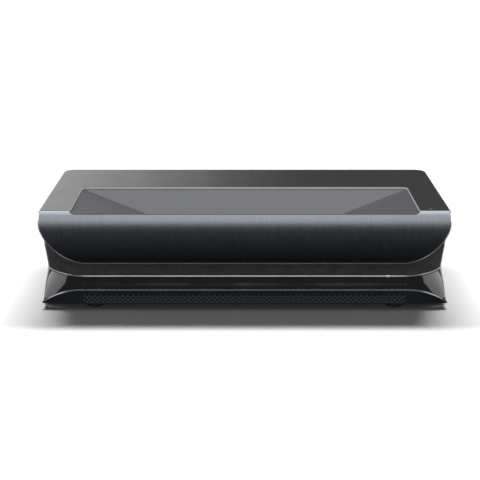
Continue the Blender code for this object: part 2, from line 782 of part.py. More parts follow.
def build_chassis():
    outline = [
        (-0.255, -0.046), (-0.084, -0.052), (-0.084, -0.136), (0.084, -0.136),
        (0.084, -0.052), (0.255, -0.046), (0.255, 0.162), (-0.255, 0.162),
    ]
    holes = [
        rounded((sign * 0.190 - 0.045, sign * 0.190 + 0.045), (0.010, 0.080), 0.008, 2)
        for sign in (-1, 1)
    ]
    frame = prism(
        "chassis_frame", outline, "Z", CHASSIS_BOTTOM, CHASSIS_TOP, "raw_aluminium", holes
    )
    for x, y in ((-0.246, -0.040), (0.246, -0.040), (-0.246, 0.154), (0.246, 0.154)):
        unite(frame, cylinder("add_cover_post", (x, y, 0.055), 0.0045, 0.084, "Z", segments=12))
    for x, y in ((-0.097, 0.120), (0.137, 0.120), (-0.097, 0.158), (0.137, 0.158)):
        unite(frame, cylinder("add_standoff", (x, y, 0.018), 0.0030, 0.0100, "Z", segments=8))


# ---------------------------------------------------------------- rear panel and ports
HDMI_XS = (-0.030, -0.008, 0.014)
USB_X, LAN_X, OPTICAL_X, JACK_X = 0.040, 0.068, 0.094, 0.112
INLET_X, INLET_Z = -0.205, 0.040
PORT_LOW = BOARD_TOP + GAP
PORT_FRONT = 0.1500
PORT_FACE = 0.1716


def port_shell(name, middle_x, width, height, wall, slot, low=PORT_LOW, deep=0.012):
    """A socket box standing on the main board, hollow from the rear face."""
    x = (middle_x - width / 2, middle_x + width / 2)
    z = (low, low + height)
    shell = box(name, x, (PORT_FRONT, PORT_FACE), z, slot)
    cut(
        shell,
        box(
            f"cut_{name}",
            (x[0] + wall, x[1] - wall),
            (PORT_FACE - deep, PORT_FACE + 0.01),
            (z[0] + wall, z[1] - wall),
        ),
    )
    return shell


def tongues(shell, middle_x, width, heights):
    """The contact tongues inside a socket, from its back wall."""
    for i, z in enumerate(heights):
        unite(
            shell,
            box(
                f"add_{shell.name}_tongue_{i}",
                (middle_x - width / 2, middle_x + width / 2),
                (PORT_FACE - 0.0140, PORT_FACE - 0.0025),
                (z - 0.0006, z + 0.0006),
            ),
        )


def build_ports():
    for i, x in enumerate(HDMI_XS):
        shell = port_shell(f"hdmi_port_{i + 1}", x, 0.0150, 0.0056, 0.0006, "port_shell")
        tongues(shell, x, 0.0110, [PORT_LOW + 0.0028])
    usb = port_shell("usb_port_stack", USB_X, 0.0144, 0.0156, 0.0007, "port_shell")
    tongues(usb, USB_X, 0.0110, [PORT_LOW + 0.0042, PORT_LOW + 0.0114])
    unite(
        usb,
        box(
            "add_usb_divider",
            (USB_X - 0.0068, USB_X + 0.0068),
            (PORT_FACE - 0.0140, PORT_FACE - 0.0004),
            (PORT_LOW + 0.0071, PORT_LOW + 0.0085),
        ),
    )
    port_shell("lan_port", LAN_X, 0.0160, 0.0134, 0.0016, "port_shell")
    port_shell("optical_audio_port", OPTICAL_X, 0.0100, 0.0100, 0.0022, "port_black", deep=0.008)
    jack_z = PORT_LOW + 0.0045
    jack = box(
        "audio_jack",
        (JACK_X - 0.0045, JACK_X + 0.0045),
        (PORT_FRONT, 0.1690),
        (PORT_LOW, PORT_LOW + 0.009),
        "port_black",
    )
    unite(jack, cylinder("add_jack_nose", (JACK_X, 0.1698, jack_z), 0.0038, 0.0036, "Y"))
    cut(jack, cylinder("cut_jack_bore", (JACK_X, 0.1660, jack_z), 0.0018, 0.02, "Y", segments=14))

    inlet = box(
        "ac_inlet",
        (INLET_X - 0.0135, INLET_X + 0.0135),
        (PORT_FRONT, PORT_FACE),
        (INLET_Z - 0.0100, INLET_Z + 0.0100),
        "port_black",
    )
    half_x, half_z, cant = 0.0118, 0.0083, 0.0045
    mouth = [
        (INLET_X - half_x, INLET_Z - half_z), (INLET_X + half_x, INLET_Z - half_z),
        (INLET_X + half_x, INLET_Z + half_z - cant), (INLET_X + half_x - cant, INLET_Z + half_z),
        (INLET_X - half_x + cant, INLET_Z + half_z), (INLET_X - half_x, INLET_Z + half_z - cant),
    ]
    cut(inlet, prism("cut_inlet_mouth", mouth, "Y", PORT_FACE - 0.0150, PORT_FACE + 0.01))
    pins = []
    for x, z in ((-0.0070, -0.0015), (0.0, 0.0020), (0.0070, -0.0015)):
        pins.append(
            (
                (INLET_X + x - 0.0010, INLET_X + x + 0.0010),
                (PORT_FRONT + 0.003, PORT_FACE - 0.0030),
                (INLET_Z + z - 0.0020, INLET_Z + z + 0.0020),
            )
        )
    unite(inlet, boxes("add_inlet_pins", pins))


def build_rear_panel():
    low, high = PANEL_FACE - PANEL_THICK, PANEL_FACE
    plate_x = (HDMI_XS[0] - 0.0120, JACK_X + 0.0090)
    plate_z = (PORT_LOW - 0.0030, PORT_LOW + 0.0190)
    inlet_hole = rectangle((INLET_X - 0.0139, INLET_X + 0.0139), (INLET_Z - 0.0104, INLET_Z + 0.0104))
    holes = [rectangle(plate_x, plate_z), inlet_hole]
    for start, count in ((-0.160, 12), (0.150, 12)):
        for i in range(count):
            middle = start + 0.0085 * i
            holes.append(rectangle((middle - 0.0021, middle + 0.0021), (0.058, 0.088)))
    outline = rectangle(
        (-COWL_END_X + GAP, COWL_END_X - GAP), (PAN_RIM_TOP + GAP, CHEEK_BOTTOM - 0.0010)
    )
    prism("rear_panel", outline, "Y", low, high, "matte_black", holes)

    sockets = [(x, 0.0150, 0.0056) for x in HDMI_XS]
    sockets += [(USB_X, 0.0144, 0.0156), (LAN_X, 0.0160, 0.0134), (OPTICAL_X, 0.0100, 0.0100)]
    holes = [circle((JACK_X, PORT_LOW + 0.0045), 0.0043, 16)]
    for x, width, height in sockets:
        holes.append(
            rectangle(
                (x - width / 2 - GAP, x + width / 2 + GAP),
                (PORT_LOW - GAP, PORT_LOW + height + GAP),
            )
        )
    outline = rectangle(
        (plate_x[0] + GAP, plate_x[1] - GAP), (plate_z[0] + GAP, plate_z[1] - GAP)
    )
    prism("port_plate", outline, "Y", low, high, "matte_black", holes)


# ---------------------------------------------------------------- boards and power supply
def build_boards():
    board = box(
        "main_board",
        (-0.105, 0.145),
        (0.1125, 0.1685),
        (BOARD_TOP - BOARD_THICK, BOARD_TOP),
        "board_green",
    )
    chips = [
        ((-0.085, -0.060), (0.120, 0.145), (BOARD_TOP - 0.0005, BOARD_TOP + 0.0030)),
        ((-0.010, 0.022), (0.1185, 0.1440), (BOARD_TOP - 0.0005, BOARD_TOP + 0.0090)),
        ((0.060, 0.080), (0.120, 0.132), (BOARD_TOP - 0.0005, BOARD_TOP + 0.0022)),
        ((0.100, 0.118), (0.122, 0.140), (BOARD_TOP - 0.0005, BOARD_TOP + 0.0028)),
    ]
    unite(board, boxes("add_chips", chips))

    supply = box("power_supply", (-0.238, -0.120), (-0.020, 0.140), (0.0225, 0.0245), "board_green")
    blocks = [
        ((-0.228, -0.188), (0.015, 0.060), (0.024, 0.058)),
        ((-0.175, -0.130), (0.000, 0.030), (0.024, 0.052)),
        ((-0.232, -0.224), (0.070, 0.130), (0.024, 0.060)),
        ((-0.150, -0.142), (0.045, 0.125), (0.024, 0.056)),
        ((-0.210, -0.165), (0.085, 0.110), (0.024, 0.046)),
    ]
    unite(supply, boxes("add_supply_blocks", blocks))
    for i, (x, y) in enumerate(((-0.208, -0.002), (-0.186, -0.004), (-0.170, 0.060))):
        can = cylinder(f"add_capacitor_{i}", (x, y, 0.040), 0.0085, 0.033, "Z", segments=16)
        unite(supply, can)
    legs = [
        ((x - 0.003, x + 0.003), (y - 0.003, y + 0.003), (FLOOR, 0.0230))
        for x in (-0.233, -0.125)
        for y in (-0.015, 0.135)
    ]
    unite(supply, boxes("add_supply_legs", legs))

    box("button_board", (0.262, 0.292), (-0.150, -0.118), (0.1325, 0.1341), "board_green")
    switch = box("add_switch", (0.2695, 0.2745), (-0.1465, -0.1415), (0.1335, 0.1357))
    unite(bpy.data.objects["button_board"], switch)
    top = HEIGHT - 0.0002
    profile = [(0.0, 0.0), (0.0041, 0.0), (0.0045, -0.0004), (0.0045, -0.0033)]
    profile += [(0.0056, -0.0033), (0.0056, -0.0046), (0.0020, -0.0046)]
    profile += [(0.0020, -0.0096), (0.0, -0.0096)]
    lathe("power_button", profile, "+Z", (BUTTON_X, BUTTON_Y, top), "deck_satin")


# ---------------------------------------------------------------- light engine
def build_engine():
    housing = box("engine_housing", (-0.075, 0.075), (0.0225, 0.0980), (FLOOR, 0.078), "cast_alloy")
    bevel_edges(housing, 0.004, 2)
    dome = cylinder("add_prism_dome", (0.0, 0.060, 0.080), 0.030, 0.020, "Z", segments=24)
    ribs = [
        ((-0.060, 0.060), (0.030, 0.033), (0.070, 0.083)),
        ((-0.060, 0.060), (0.088, 0.091), (0.070, 0.083)),
    ]
    unite(housing, dome, boxes("add_housing_ribs", ribs))

    laser = box("laser_module", (0.0755, 0.148), (0.030, 0.095), (0.022, 0.0745), "cast_alloy")
    bevel_edges(laser, 0.0025, 2)
    laser_legs = [
        ((x - 0.004, x + 0.004), (y - 0.004, y + 0.004), (FLOOR, 0.030))
        for x in (0.084, 0.138)
        for y in (0.038, 0.087)
    ]
    unite(laser, boxes("add_laser_legs", laser_legs))

    comb = [(0.166, 0.0155), (0.254, 0.0155)]
    fins = 11
    pitch = 0.088 / fins
    for i in range(fins):
        right = 0.254 - pitch * i
        comb += [(right, 0.094), (right - 0.0022, 0.094)]
        if i < fins - 1:
            comb += [(right - 0.0022, 0.022), (right - pitch, 0.022)]
    comb += [(0.166, 0.022)]
    prism("laser_heatsink", comb, "Y", 0.000, 0.110, "raw_aluminium")
    for i, y in enumerate((0.048, 0.078)):
        path = [(0.090, y, 0.0785), (0.150, y, 0.0785)]
        path += [(0.157, y, 0.0815), (0.161, y, 0.0890), (0.166, y, 0.0965), (0.173, y, 0.0985)]
        tube(f"heat_pipe_{i + 1}", [*path, (0.248, y, 0.0985)], 0.0030, "copper")

    box("imager_board", (-0.045, 0.045), (0.0985, 0.1001), (0.030, 0.086), "board_green")
    comb = [(-0.026, 0.1008), (0.026, 0.1008)]
    pitch = 0.052 / 9
    for i in range(9):
        right = 0.026 - pitch * i
        comb += [(right, 0.1115), (right - 0.0020, 0.1115)]
        if i < 8:
            comb += [(right - 0.0020, 0.1035), (right - pitch, 0.1035)]
    comb += [(-0.026, 0.1035)]
    prism("imager_heatsink", comb, "Z", 0.036, 0.080, "raw_aluminium")

    wheel_place = (-0.0860, 0.060, 0.0520)
    wheel = [(0.0, 0.0045), (0.0060, 0.0045), (0.0060, 0.0006), (0.0200, 0.0006)]
    wheel += [(0.0200, -0.0006), (0.0060, -0.0006), (0.0060, -0.0030), (0.0, -0.0030)]
    lathe("diffuser_wheel", wheel, "+X", wheel_place, "wheel_glass")
    motor = [(0.0, -0.0040), (0.0110, -0.0040), (0.0130, -0.0060), (0.0130, -0.0230)]
    lathe("diffuser_motor", [*motor, (0.0, -0.0230)], "+X", wheel_place, "screw_steel")
    foot = box("add_motor_foot", (-0.108, -0.093), (0.052, 0.068), (FLOOR, 0.045))
    unite(bpy.data.objects["diffuser_motor"], foot)


def build_lens():
    axis = (0.0, 0.0220, LENS_AXIS_Z)  # the back of the barrel; +Z of the profile points forward
    barrel = [(0.0210, 0.0670), (0.0250, 0.0670), (0.0250, 0.0300), (0.0275, 0.0270)]
    barrel += [(0.0275, 0.0120), (0.0310, 0.0100), (0.0310, 0.0), (0.0150, 0.0)]
    barrel += [(0.0150, 0.0280), (0.0210, 0.0310)]
    lathe("lens_barrel", barrel, "-Y", axis, "matte_black", 28)

    cell_place = (0.0, -0.0450, LENS_AXIS_Z)  # the front rim of the barrel
    cell = [(0.0170, 0.0060), (0.0235, 0.0060), (0.0235, 0.0025), (0.0204, 0.0025)]
    cell += [(0.0204, -0.0240), (0.0170, -0.0240)]
    lathe("focus_cell", cell, "-Y", cell_place, "matte_black", 28)
    arm = box(
        "add_focus_arm",
        (0.0200, FOCUS_SCREW_X + 0.0050),
        (-0.0508, -0.0478),
        (LENS_AXIS_Z - 0.0050, LENS_AXIS_Z + 0.0050),
    )
    bore = cylinder(
        "cut_focus_nut", (FOCUS_SCREW_X, -0.050, LENS_AXIS_Z), 0.0024, 0.02, "Y", segments=16
    )
    unite(bpy.data.objects["focus_cell"], arm)
    cut(bpy.data.objects["focus_cell"], bore)
    glass = [(0.0, 0.0050), (0.0080, 0.0042), (0.0166, 0.0010), (0.0166, -0.0020)]
    lathe("focus_lens", [*glass, (0.0080, -0.0032), (0.0, -0.0036)], "-Y", cell_place, "lens_glass")

    motor_place = (FOCUS_SCREW_X, 0.0120, LENS_AXIS_Z)
    motor = [(0.0, 0.0100), (0.0060, 0.0100), (0.0070, 0.0090), (0.0070, -0.0095)]
    lathe("focus_motor", [*motor, (0.0, -0.0095)], "-Y", motor_place, "screw_steel", 20)
    thread = [(0.0, 0.0690), (0.0012, 0.0690), (0.0018, 0.0680), (0.0018, 0.0110)]
    lathe("focus_screw", [*thread, (0.0, 0.0110)], "-Y", motor_place, "screw_steel", 12)


def build_mirror():
    middle_z, vertex_y = 0.058, -0.128
    front = []
    back = []
    for row in range(7):
        z = 0.024 + 0.068 * row / 6
        dz = z - middle_z
        front.append([])
        back.append([])
        for column in range(11):
            x = -0.063 + 0.126 * column / 10
            y = vertex_y + 3.6 * (x * x + dz * dz) - 0.10 * dz
            front[-1].append((x, y, z))
            back[-1].append((x, y - 0.0035, z))
    mirror = sheet("curved_mirror", front, back, "mirror_coat")
    smooth(mirror)
    outer, inner = 0.0700, 0.0660
    u_shape = [
        (-outer, FLOOR), (outer, FLOOR), (outer, 0.096), (inner, 0.096),
        (inner, FLOOR + 0.004), (-inner, FLOOR + 0.004), (-inner, 0.096), (-outer, 0.096),
    ]
    prism("mirror_bracket", u_shape, "Y", -0.1340, -0.1040, "matte_black")


# ---------------------------------------------------------------- fans and speakers
def fan_blades(name, sign):
    """Seven pitched blades about the X axis through the origin, in one mesh."""
    bm = bmesh.new()
    for blade in range(FAN_BLADES):
        turn = 2 * math.pi * blade / FAN_BLADES
        skins = []
        for lift in (0.0007, -0.0007):
            skin = []
            for edge in (-1, 1):
                row = []
                for radius, half_angle in ((0.0115, 0.34), (0.0210, 0.30), (0.0315, 0.28)):
                    angle = turn + edge * half_angle
                    x = sign * edge * 0.0055 + lift
                    row.append(bm.verts.new((x, radius * math.cos(angle), radius * math.sin(angle))))
                skin.append(row)
            skins.append(skin)
        top, low = skins
        for skin in skins:
            for c in (0, 1):
                bm.faces.new((skin[0][c], skin[0][c + 1], skin[1][c + 1], skin[1][c]))
        for r in (0, 1):
            for c in (0, 1):
                bm.faces.new((top[r][c], top[r][c + 1], low[r][c + 1], low[r][c]))
        for c in (0, 2):
            bm.faces.new((top[0][c], top[1][c], low[1][c], low[0][c]))
    return add_mesh(name, bm, None)


def build_fan(prefix, sign):
    low_x, high_x = sorted((sign * FAN_INNER_X, sign * FAN_OUTER_X))
    y, z = FAN_CENTRE
    square = rounded((y - FAN_HALF, y + FAN_HALF), (z - FAN_HALF, z + FAN_HALF), 0.004, 2)
    frame = prism(
        f"{prefix}_fan_frame", square, "X", low_x, high_x, "fan_plastic", [circle((y, z), FAN_BORE, 32)]
    )
    sectors = []
    for quarter in range(4):
        start = quarter * 90
        outside = arc((y, z), FAN_BORE - 0.0010, start + 6, start + 84, 6)
        inside = arc((y, z), 0.0140, start + 14, start + 76, 3)
        sectors.append(outside + inside[::-1])
    plate_x = sorted((sign * (FAN_INNER_X + 0.0001), sign * (FAN_INNER_X + 0.0021)))
    spider = prism(
        f"add_{prefix}_spider", circle((y, z), FAN_BORE + 0.0010, 32), "X", *plate_x, holes=sectors
    )
    unite(frame, spider)

    middle_x = sign * (FAN_INNER_X + 0.0125)
    hub = [(0.0, 0.0080), (0.0110, 0.0080), (0.0125, 0.0070), (0.0125, -0.0090), (0.0, -0.0090)]
    rotor = lathe(
        f"{prefix}_fan_rotor", hub, "+X" if sign > 0 else "-X", (middle_x, y, z), "fan_plastic"
    )
    blades = fan_blades(f"add_{prefix}_blades", sign)
    blades.location = (middle_x, y, z)
    unite(rotor, blades)


def build_speaker(side_name, sign):
    half_x, half_y, low, high = SPEAKER_BOX
    x = sign * SPEAKER_X
    cabinet = box(
        f"speaker_box_{side_name}",
        (x - half_x, x + half_x),
        (SPEAKER_Y - half_y, SPEAKER_Y + half_y),
        (low, high),
        "matte_black",
    )
    bevel_edges(cabinet, 0.003, 2)
    wall = 0.003
    hollow = box(
        f"cut_cabinet_{side_name}",
        (x - half_x + wall, x + half_x - wall),
        (SPEAKER_Y - half_y + wall, SPEAKER_Y + half_y - wall),
        (low + wall, high - wall),
    )
    mouth = cylinder(f"cut_mouth_{side_name}", (x, SPEAKER_Y, low), 0.0225, 0.02, "Z", segments=24)
    cut(cabinet, hollow, mouth)
    place = (x, SPEAKER_Y, low + wall + GAP)
    driver = [(0.0, 0.0260), (0.0150, 0.0260), (0.0150, 0.0170), (0.0120, 0.0155)]
    driver += [(0.0235, 0.0070), (0.0235, 0.0020), (0.0270, 0.0020), (0.0270, 0.0)]
    driver += [(0.0214, 0.0), (0.0214, 0.0060), (0.0090, 0.0145), (0.0, 0.0145)]
    lathe(f"speaker_driver_{side_name}", driver, "+Z", place, "screw_steel")
    cone = [(0.0, 0.0095), (0.0060, 0.0095), (0.0205, 0.0018), (0.0205, 0.0005)]
    cone += [(0.0065, 0.0080), (0.0035, 0.0066), (0.0, 0.0060)]
    lathe(f"speaker_cone_{side_name}", cone, "+Z", place, "cone_paper")


# ---------------------------------------------------------------- assembly
build_top_cover()
build_fascia()
build_light_well()
build_cowls()
build_skirt()
build_base()
build_chassis()
build_rear_panel()
build_ports()
build_boards()
build_engine()
build_lens()
build_mirror()
build_fan("intake", -1)
build_fan("exhaust", 1)
build_speaker("left", -1)
build_speaker("right", 1)
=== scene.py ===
"""Visual model of the home projector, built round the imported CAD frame."""

import json
import math
import bmesh
import bpy
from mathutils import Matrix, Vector


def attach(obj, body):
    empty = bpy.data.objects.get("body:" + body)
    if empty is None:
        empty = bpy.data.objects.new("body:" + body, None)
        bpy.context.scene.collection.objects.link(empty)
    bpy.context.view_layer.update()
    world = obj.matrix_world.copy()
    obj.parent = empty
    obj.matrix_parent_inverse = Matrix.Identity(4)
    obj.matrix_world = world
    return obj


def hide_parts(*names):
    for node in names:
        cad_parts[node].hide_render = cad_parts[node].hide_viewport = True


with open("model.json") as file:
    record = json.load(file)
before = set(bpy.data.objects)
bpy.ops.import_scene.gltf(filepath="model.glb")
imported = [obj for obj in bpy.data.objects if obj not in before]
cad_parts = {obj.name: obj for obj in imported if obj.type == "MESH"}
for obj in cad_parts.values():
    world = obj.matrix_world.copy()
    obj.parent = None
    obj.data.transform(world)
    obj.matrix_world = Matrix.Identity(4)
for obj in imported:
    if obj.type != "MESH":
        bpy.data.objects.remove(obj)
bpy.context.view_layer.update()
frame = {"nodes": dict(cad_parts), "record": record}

NODES = frame["nodes"]
SCENE = bpy.context.scene

# ---------------------------------------------------------------- camera
CAMERA_PLACE = (0.0, -2.237, 0.592)
CAMERA_PITCH = 13.22
camera_data = bpy.data.cameras.new("camera")
camera_data.lens = 109.8
camera_data.sensor_width = 36.0
camera_data.shift_x = -0.0098
camera = bpy.data.objects.new("camera", camera_data)
camera.location = CAMERA_PLACE
camera.rotation_euler = (math.radians(90.0 - CAMERA_PITCH), 0.0, 0.0)
SCENE.collection.objects.link(camera)
SCENE.camera = camera
SCENE.view_settings.view_transform = "Standard"

# ---------------------------------------------------------------- sizes, as in the CAD
HALF_W = 0.300
FRONT, REAR = -0.1735, 0.1735
HEIGHT = 0.147
GAP = 0.0004
CREASE_Y = -0.157
CHEEK_INSIDE = 0.2972
CHEEK_BOTTOM = 0.0975
CHEEK_FRONT_EDGE = [(-0.168, 0.132), (-0.150, 0.113), (-0.130, 0.102), (-0.105, CHEEK_BOTTOM)]
REAR_CORNER = 0.018
FASCIA_THICK = 0.0025
FASCIA_BOTTOM = 0.0675
FASCIA_PROFILE = [
    (CREASE_Y, HEIGHT), (-0.1620, 0.1457), (-0.1665, 0.1437), (-0.1695, 0.1408),
    (-0.1714, 0.1370), (-0.1726, 0.1325), (-0.1733, 0.1275), (FRONT, 0.1220),
    (-0.1732, 0.1150), (-0.1723, 0.1060), (-0.1706, 0.0965), (-0.1681, 0.0870),
    (-0.1648, 0.0785), (-0.1608, 0.0715), (-0.1578, FASCIA_BOTTOM),
]
CORNER_X, CORNER_Z, CORNER_R, CORNER_POWER = 0.2335, 0.1335, 0.0665, 1.7
WELL_HALF_X, WELL_FRONT, WELL_REAR, WELL_CORNER = 0.255, -0.167, 0.0215, 0.009
SIDE = 0.2995
COWL_THICK = 0.0025
COWL_CORNER_X = 0.235
COWL_POWER = 1.74
COWL_END_X = 0.2725
WAIST_Z = 0.0455
ACCENT_HALF = 0.0012

# ---------------------------------------------------------------- materials


class Shader:
    """A node material put together step by step on one Principled shader."""

    def __init__(self, name, colour, roughness, metallic=0.0, **sockets):
        self.material = bpy.data.materials.new(name)
        self.material.use_nodes = True
        self.tree = self.material.node_tree
        self.main = self.tree.nodes["Principled BSDF"]
        self.colour = colour
        self.roughness = roughness
        self.main.inputs["Base Color"].default_value = (*colour, 1.0)
        self.main.inputs["Roughness"].default_value = roughness
        self.main.inputs["Metallic"].default_value = metallic
        for socket, value in sockets.items():
            self.main.inputs[socket.replace("_", " ")].default_value = value
        self.place = self.node("ShaderNodeTexCoord").outputs["Object"]
        self.height = None

    def node(self, kind, **settings):
        made = self.tree.nodes.new(kind)
        for key, value in settings.items():
            setattr(made, key, value)
        return made

    def link(self, out, into):
        self.tree.links.new(out, into)

    def stretched(self, scale):
        """Object coordinates stretched along the axes, for grain."""
        mapping = self.node("ShaderNodeMapping")
        mapping.inputs["Scale"].default_value = scale
        self.link(self.place, mapping.inputs["Vector"])
        return mapping.outputs["Vector"]

    def noise(self, scale, detail=3.0, rough=0.5, stretch=None):
        made = self.node("ShaderNodeTexNoise")
        made.inputs["Scale"].default_value = scale
        made.inputs["Detail"].default_value = detail
        made.inputs["Roughness"].default_value = rough
        self.link(self.stretched(stretch) if stretch else self.place, made.inputs["Vector"])
        return made.outputs["Fac"]

    def spread(self, value, low, high, start=0.3, stop=0.7):
        """Maps a noise to a range of numbers."""
        made = self.node("ShaderNodeMapRange")
        made.inputs["From Min"].default_value = start
        made.inputs["From Max"].default_value = stop
        made.inputs["To Min"].default_value = low
        made.inputs["To Max"].default_value = high
        self.link(value, made.inputs["Value"])
        return made.outputs["Result"]

    def vary_colour(self, value, darker, lighter, start=0.3, stop=0.7):
        """Moves the base colour between two multiples of itself."""
        mix = self.node("ShaderNodeMix", data_type="RGBA")
        mix.inputs["A"].default_value = (*[part * darker for part in self.colour], 1.0)
        mix.inputs["B"].default_value = (*[min(part * lighter, 1.0) for part in self.colour], 1.0)
        self.link(self.spread(value, 0.0, 1.0, start, stop), mix.inputs["Factor"])
        self.link(mix.outputs["Result"], self.main.inputs["Base Color"])
        return self

    def vary_roughness(self, value, less, more):
        low, high = max(self.roughness - less, 0.0), self.roughness + more
        self.link(self.spread(value, low, high), self.main.inputs["Roughness"])
        return self

    def bump(self, value, strength, distance):
        made = self.node("ShaderNodeBump")
        made.inputs["Strength"].default_value = strength
        made.inputs["Distance"].default_value = distance
        self.link(value, made.inputs["Height"])
        if self.height:
            self.link(self.height, made.inputs["Normal"])
        self.height = made.outputs["Normal"]
        self.link(self.height, self.main.inputs["Normal"])
        return self


def moulded(name, colour, roughness, grain=1800.0, depth=0.00006, **sockets):
    """Moulded or painted surface: fine spark texture, slow mottling, uneven sheen."""
    made = Shader(name, colour, roughness, **sockets)
    fine = made.noise(grain, 2.0, 0.6)
    made.vary_colour(fine, 0.86, 1.16)
    made.vary_roughness(made.noise(24.0, 5.0), 0.015, 0.02)
    made.bump(fine, 0.35, depth)
    return made.material


def brushed(name, colour, roughness, stretch, darker=0.72, lighter=1.28, strength=0.12, **sockets):
    """Metal with grain drawn along one axis: stretch is small along it and large across it."""
    made = Shader(name, colour, roughness, 1.0, **sockets)
    grain = made.noise(1.0, 5.0, 0.65, stretch)
    made.vary_colour(grain, darker, lighter)
    made.vary_roughness(grain, 0.07, 0.08)
    made.bump(grain, strength, 0.00004)
    return made.material


def glossy(name, colour, roughness, **sockets):
    """Polished plastic: slight orange peel, faint smears."""
    made = Shader(name, colour, roughness, **sockets)
    made.vary_roughness(made.noise(22.0, 5.0, 0.6), 0.03, 0.05)
    made.vary_colour(made.noise(60.0, 3.0), 0.85, 1.20)
    made.bump(made.noise(120.0, 1.0), 0.06, 0.00005)
    return made.material


def metal(name, colour, roughness, scale=300.0, strength=0.15):
    """Cast or mill-finished metal: mottled tone and shallow pitting."""
    made = Shader(name, colour, roughness, 1.0)
    grain = made.noise(scale, 5.0, 0.6)
    made.vary_colour(grain, 0.82, 1.14)
    made.vary_roughness(made.noise(scale / 6, 4.0), 0.07, 0.10)
    made.bump(grain, strength, 0.00010)
    return made.material


def board(name):
    """Circuit board: green mask with paler tracks."""
    made = Shader(name, (0.020, 0.100, 0.048), 0.38)
    tracks = made.node("ShaderNodeTexBrick")
    tracks.inputs["Scale"].default_value = 260.0
    tracks.inputs["Mortar Size"].default_value = 0.06
    tracks.inputs["Color1"].default_value = (0.018, 0.090, 0.042, 1.0)
    tracks.inputs["Color2"].default_value = (0.022, 0.125, 0.060, 1.0)
    tracks.inputs["Mortar"].default_value = (0.060, 0.230, 0.120, 1.0)
    made.link(made.place, tracks.inputs["Vector"])
    made.link(tracks.outputs["Color"], made.main.inputs["Base Color"])
    made.bump(tracks.outputs["Fac"], 0.2, 0.00005)
    made.vary_roughness(made.noise(40.0), 0.06, 0.08)
    return made.material


CUT_GRAIN = (1400.0, 1400.0, 1400.0)
ACCENT_GRAIN = (1500.0, 1500.0, 1500.0)
WELL_FINISH = (0.50, 1500.0, 0.00005)

DECK = moulded("deck_satin_grain", (0.0105, 0.0105, 0.0108), 0.33, 2200.0, 0.00003)
# Light grey: partly a painted highlight on the lining of the deck's opening, and the power symbol's
# own print colour.
LIP_HIGHLIGHT_AND_MARK = moulded("lip_painted_highlight_and_mark", (0.26, 0.265, 0.275), 0.42, 1500.0)
FASCIA = brushed(
    "fascia_vertical_brush", (0.112, 0.121, 0.138), 0.33, (2600.0, 60.0, 60.0), 0.80, 1.22, 0.06
)
FASCIA_EDGE = brushed("fascia_cut_edge", (0.68, 0.70, 0.73), 0.24, CUT_GRAIN, 0.9, 1.1, 0.02)
GLOSS = glossy("waist_gloss_black", (0.007, 0.007, 0.0067), 0.07)
# The upper band is the same gloss black as the lower one, painted lighter: a painted reflection of the
# light it catches.
GLOSS_UPPER_PAINTED_REFLECTION = glossy("waist_gloss_painted_reflection", (0.026, 0.0263, 0.0268), 0.07)
ACCENT = brushed(
    "accent_champagne_satin", (0.47, 0.425, 0.385), 0.28, ACCENT_GRAIN, 0.92, 1.08, 0.02
)
# The ramp is the same moulded grey as the well's other walls, painted lighter: painted light for the
# ramp catching more of the lamps.
RAMP_PAINTED_LIGHT = moulded(
    "ramp_painted_light_grey", (0.072, 0.073, 0.079), *WELL_FINISH, Specular_IOR_Level=0.08
)
WELL = moulded(
    "well_matte_grey", (0.040, 0.0405, 0.044), *WELL_FINISH, Specular_IOR_Level=0.08
)
SKIRT = moulded(
    "skirt_satin_paint", (0.0030, 0.0038, 0.0048), 0.46, 1500.0, Specular_IOR_Level=0.03
)
# The dished web round each slot is the skirt's own dark paint made lighter and glossier: painted sheen
# for the light dots the webs catch.
MESH_WEB_PAINTED_SHEEN = moulded(
    "skirt_mesh_web_painted_sheen", (0.0130, 0.0135, 0.0142), 0.42, 1500.0, Specular_IOR_Level=0.16
)
SKIRT_EDGE = brushed("skirt_cut_edge", (0.19, 0.21, 0.232), 0.30, CUT_GRAIN, 0.92, 1.08, 0.02)
MATTE = moulded("moulded_black", (0.022, 0.022, 0.023), 0.52, 1200.0)
PAN = moulded("pan_powder_coat", (0.028, 0.029, 0.031), 0.58, 700.0, 0.00012)
RUBBER = moulded("rubber_black", (0.016, 0.016, 0.016), 0.82, 900.0, 0.00008)
STEEL = brushed("zinc_steel", (0.52, 0.52, 0.53), 0.30, (500.0, 500.0, 60.0), 0.85, 1.12)
ALUMINIUM = metal("mill_aluminium", (0.64, 0.65, 0.67), 0.36, 500.0, 0.10)
CAST = metal("cast_alloy", (0.30, 0.31, 0.33), 0.52, 260.0, 0.45)
COPPER = metal("heat_pipe_copper", (0.74, 0.36, 0.21), 0.26, 400.0, 0.08)
PORT_METAL = metal("nickel_shell", (0.55, 0.54, 0.52), 0.28, 600.0, 0.06)
BOARD = board("circuit_board")
CONE = moulded("cone_pulp", (0.030, 0.030, 0.032), 0.85, 500.0, 0.00020)
MIRROR = glossy("mirror_coating", (0.90, 0.91, 0.92), 0.04, Metallic=1.0)
GLASS = glossy("coated_glass", (0.60, 0.70, 0.74), 0.04, Transmission_Weight=0.9, IOR=1.50)
WHEEL = moulded("ground_glass_wheel", (0.70, 0.72, 0.62), 0.35, 600.0, Transmission_Weight=0.4)
LAMP = moulded(
    "status_light_pipe",
    (0.85, 0.88, 0.92),
    0.35,
    900.0,
    Emission_Color=(0.90, 0.95, 1.0, 1.0),
    Emission_Strength=1.2,
)

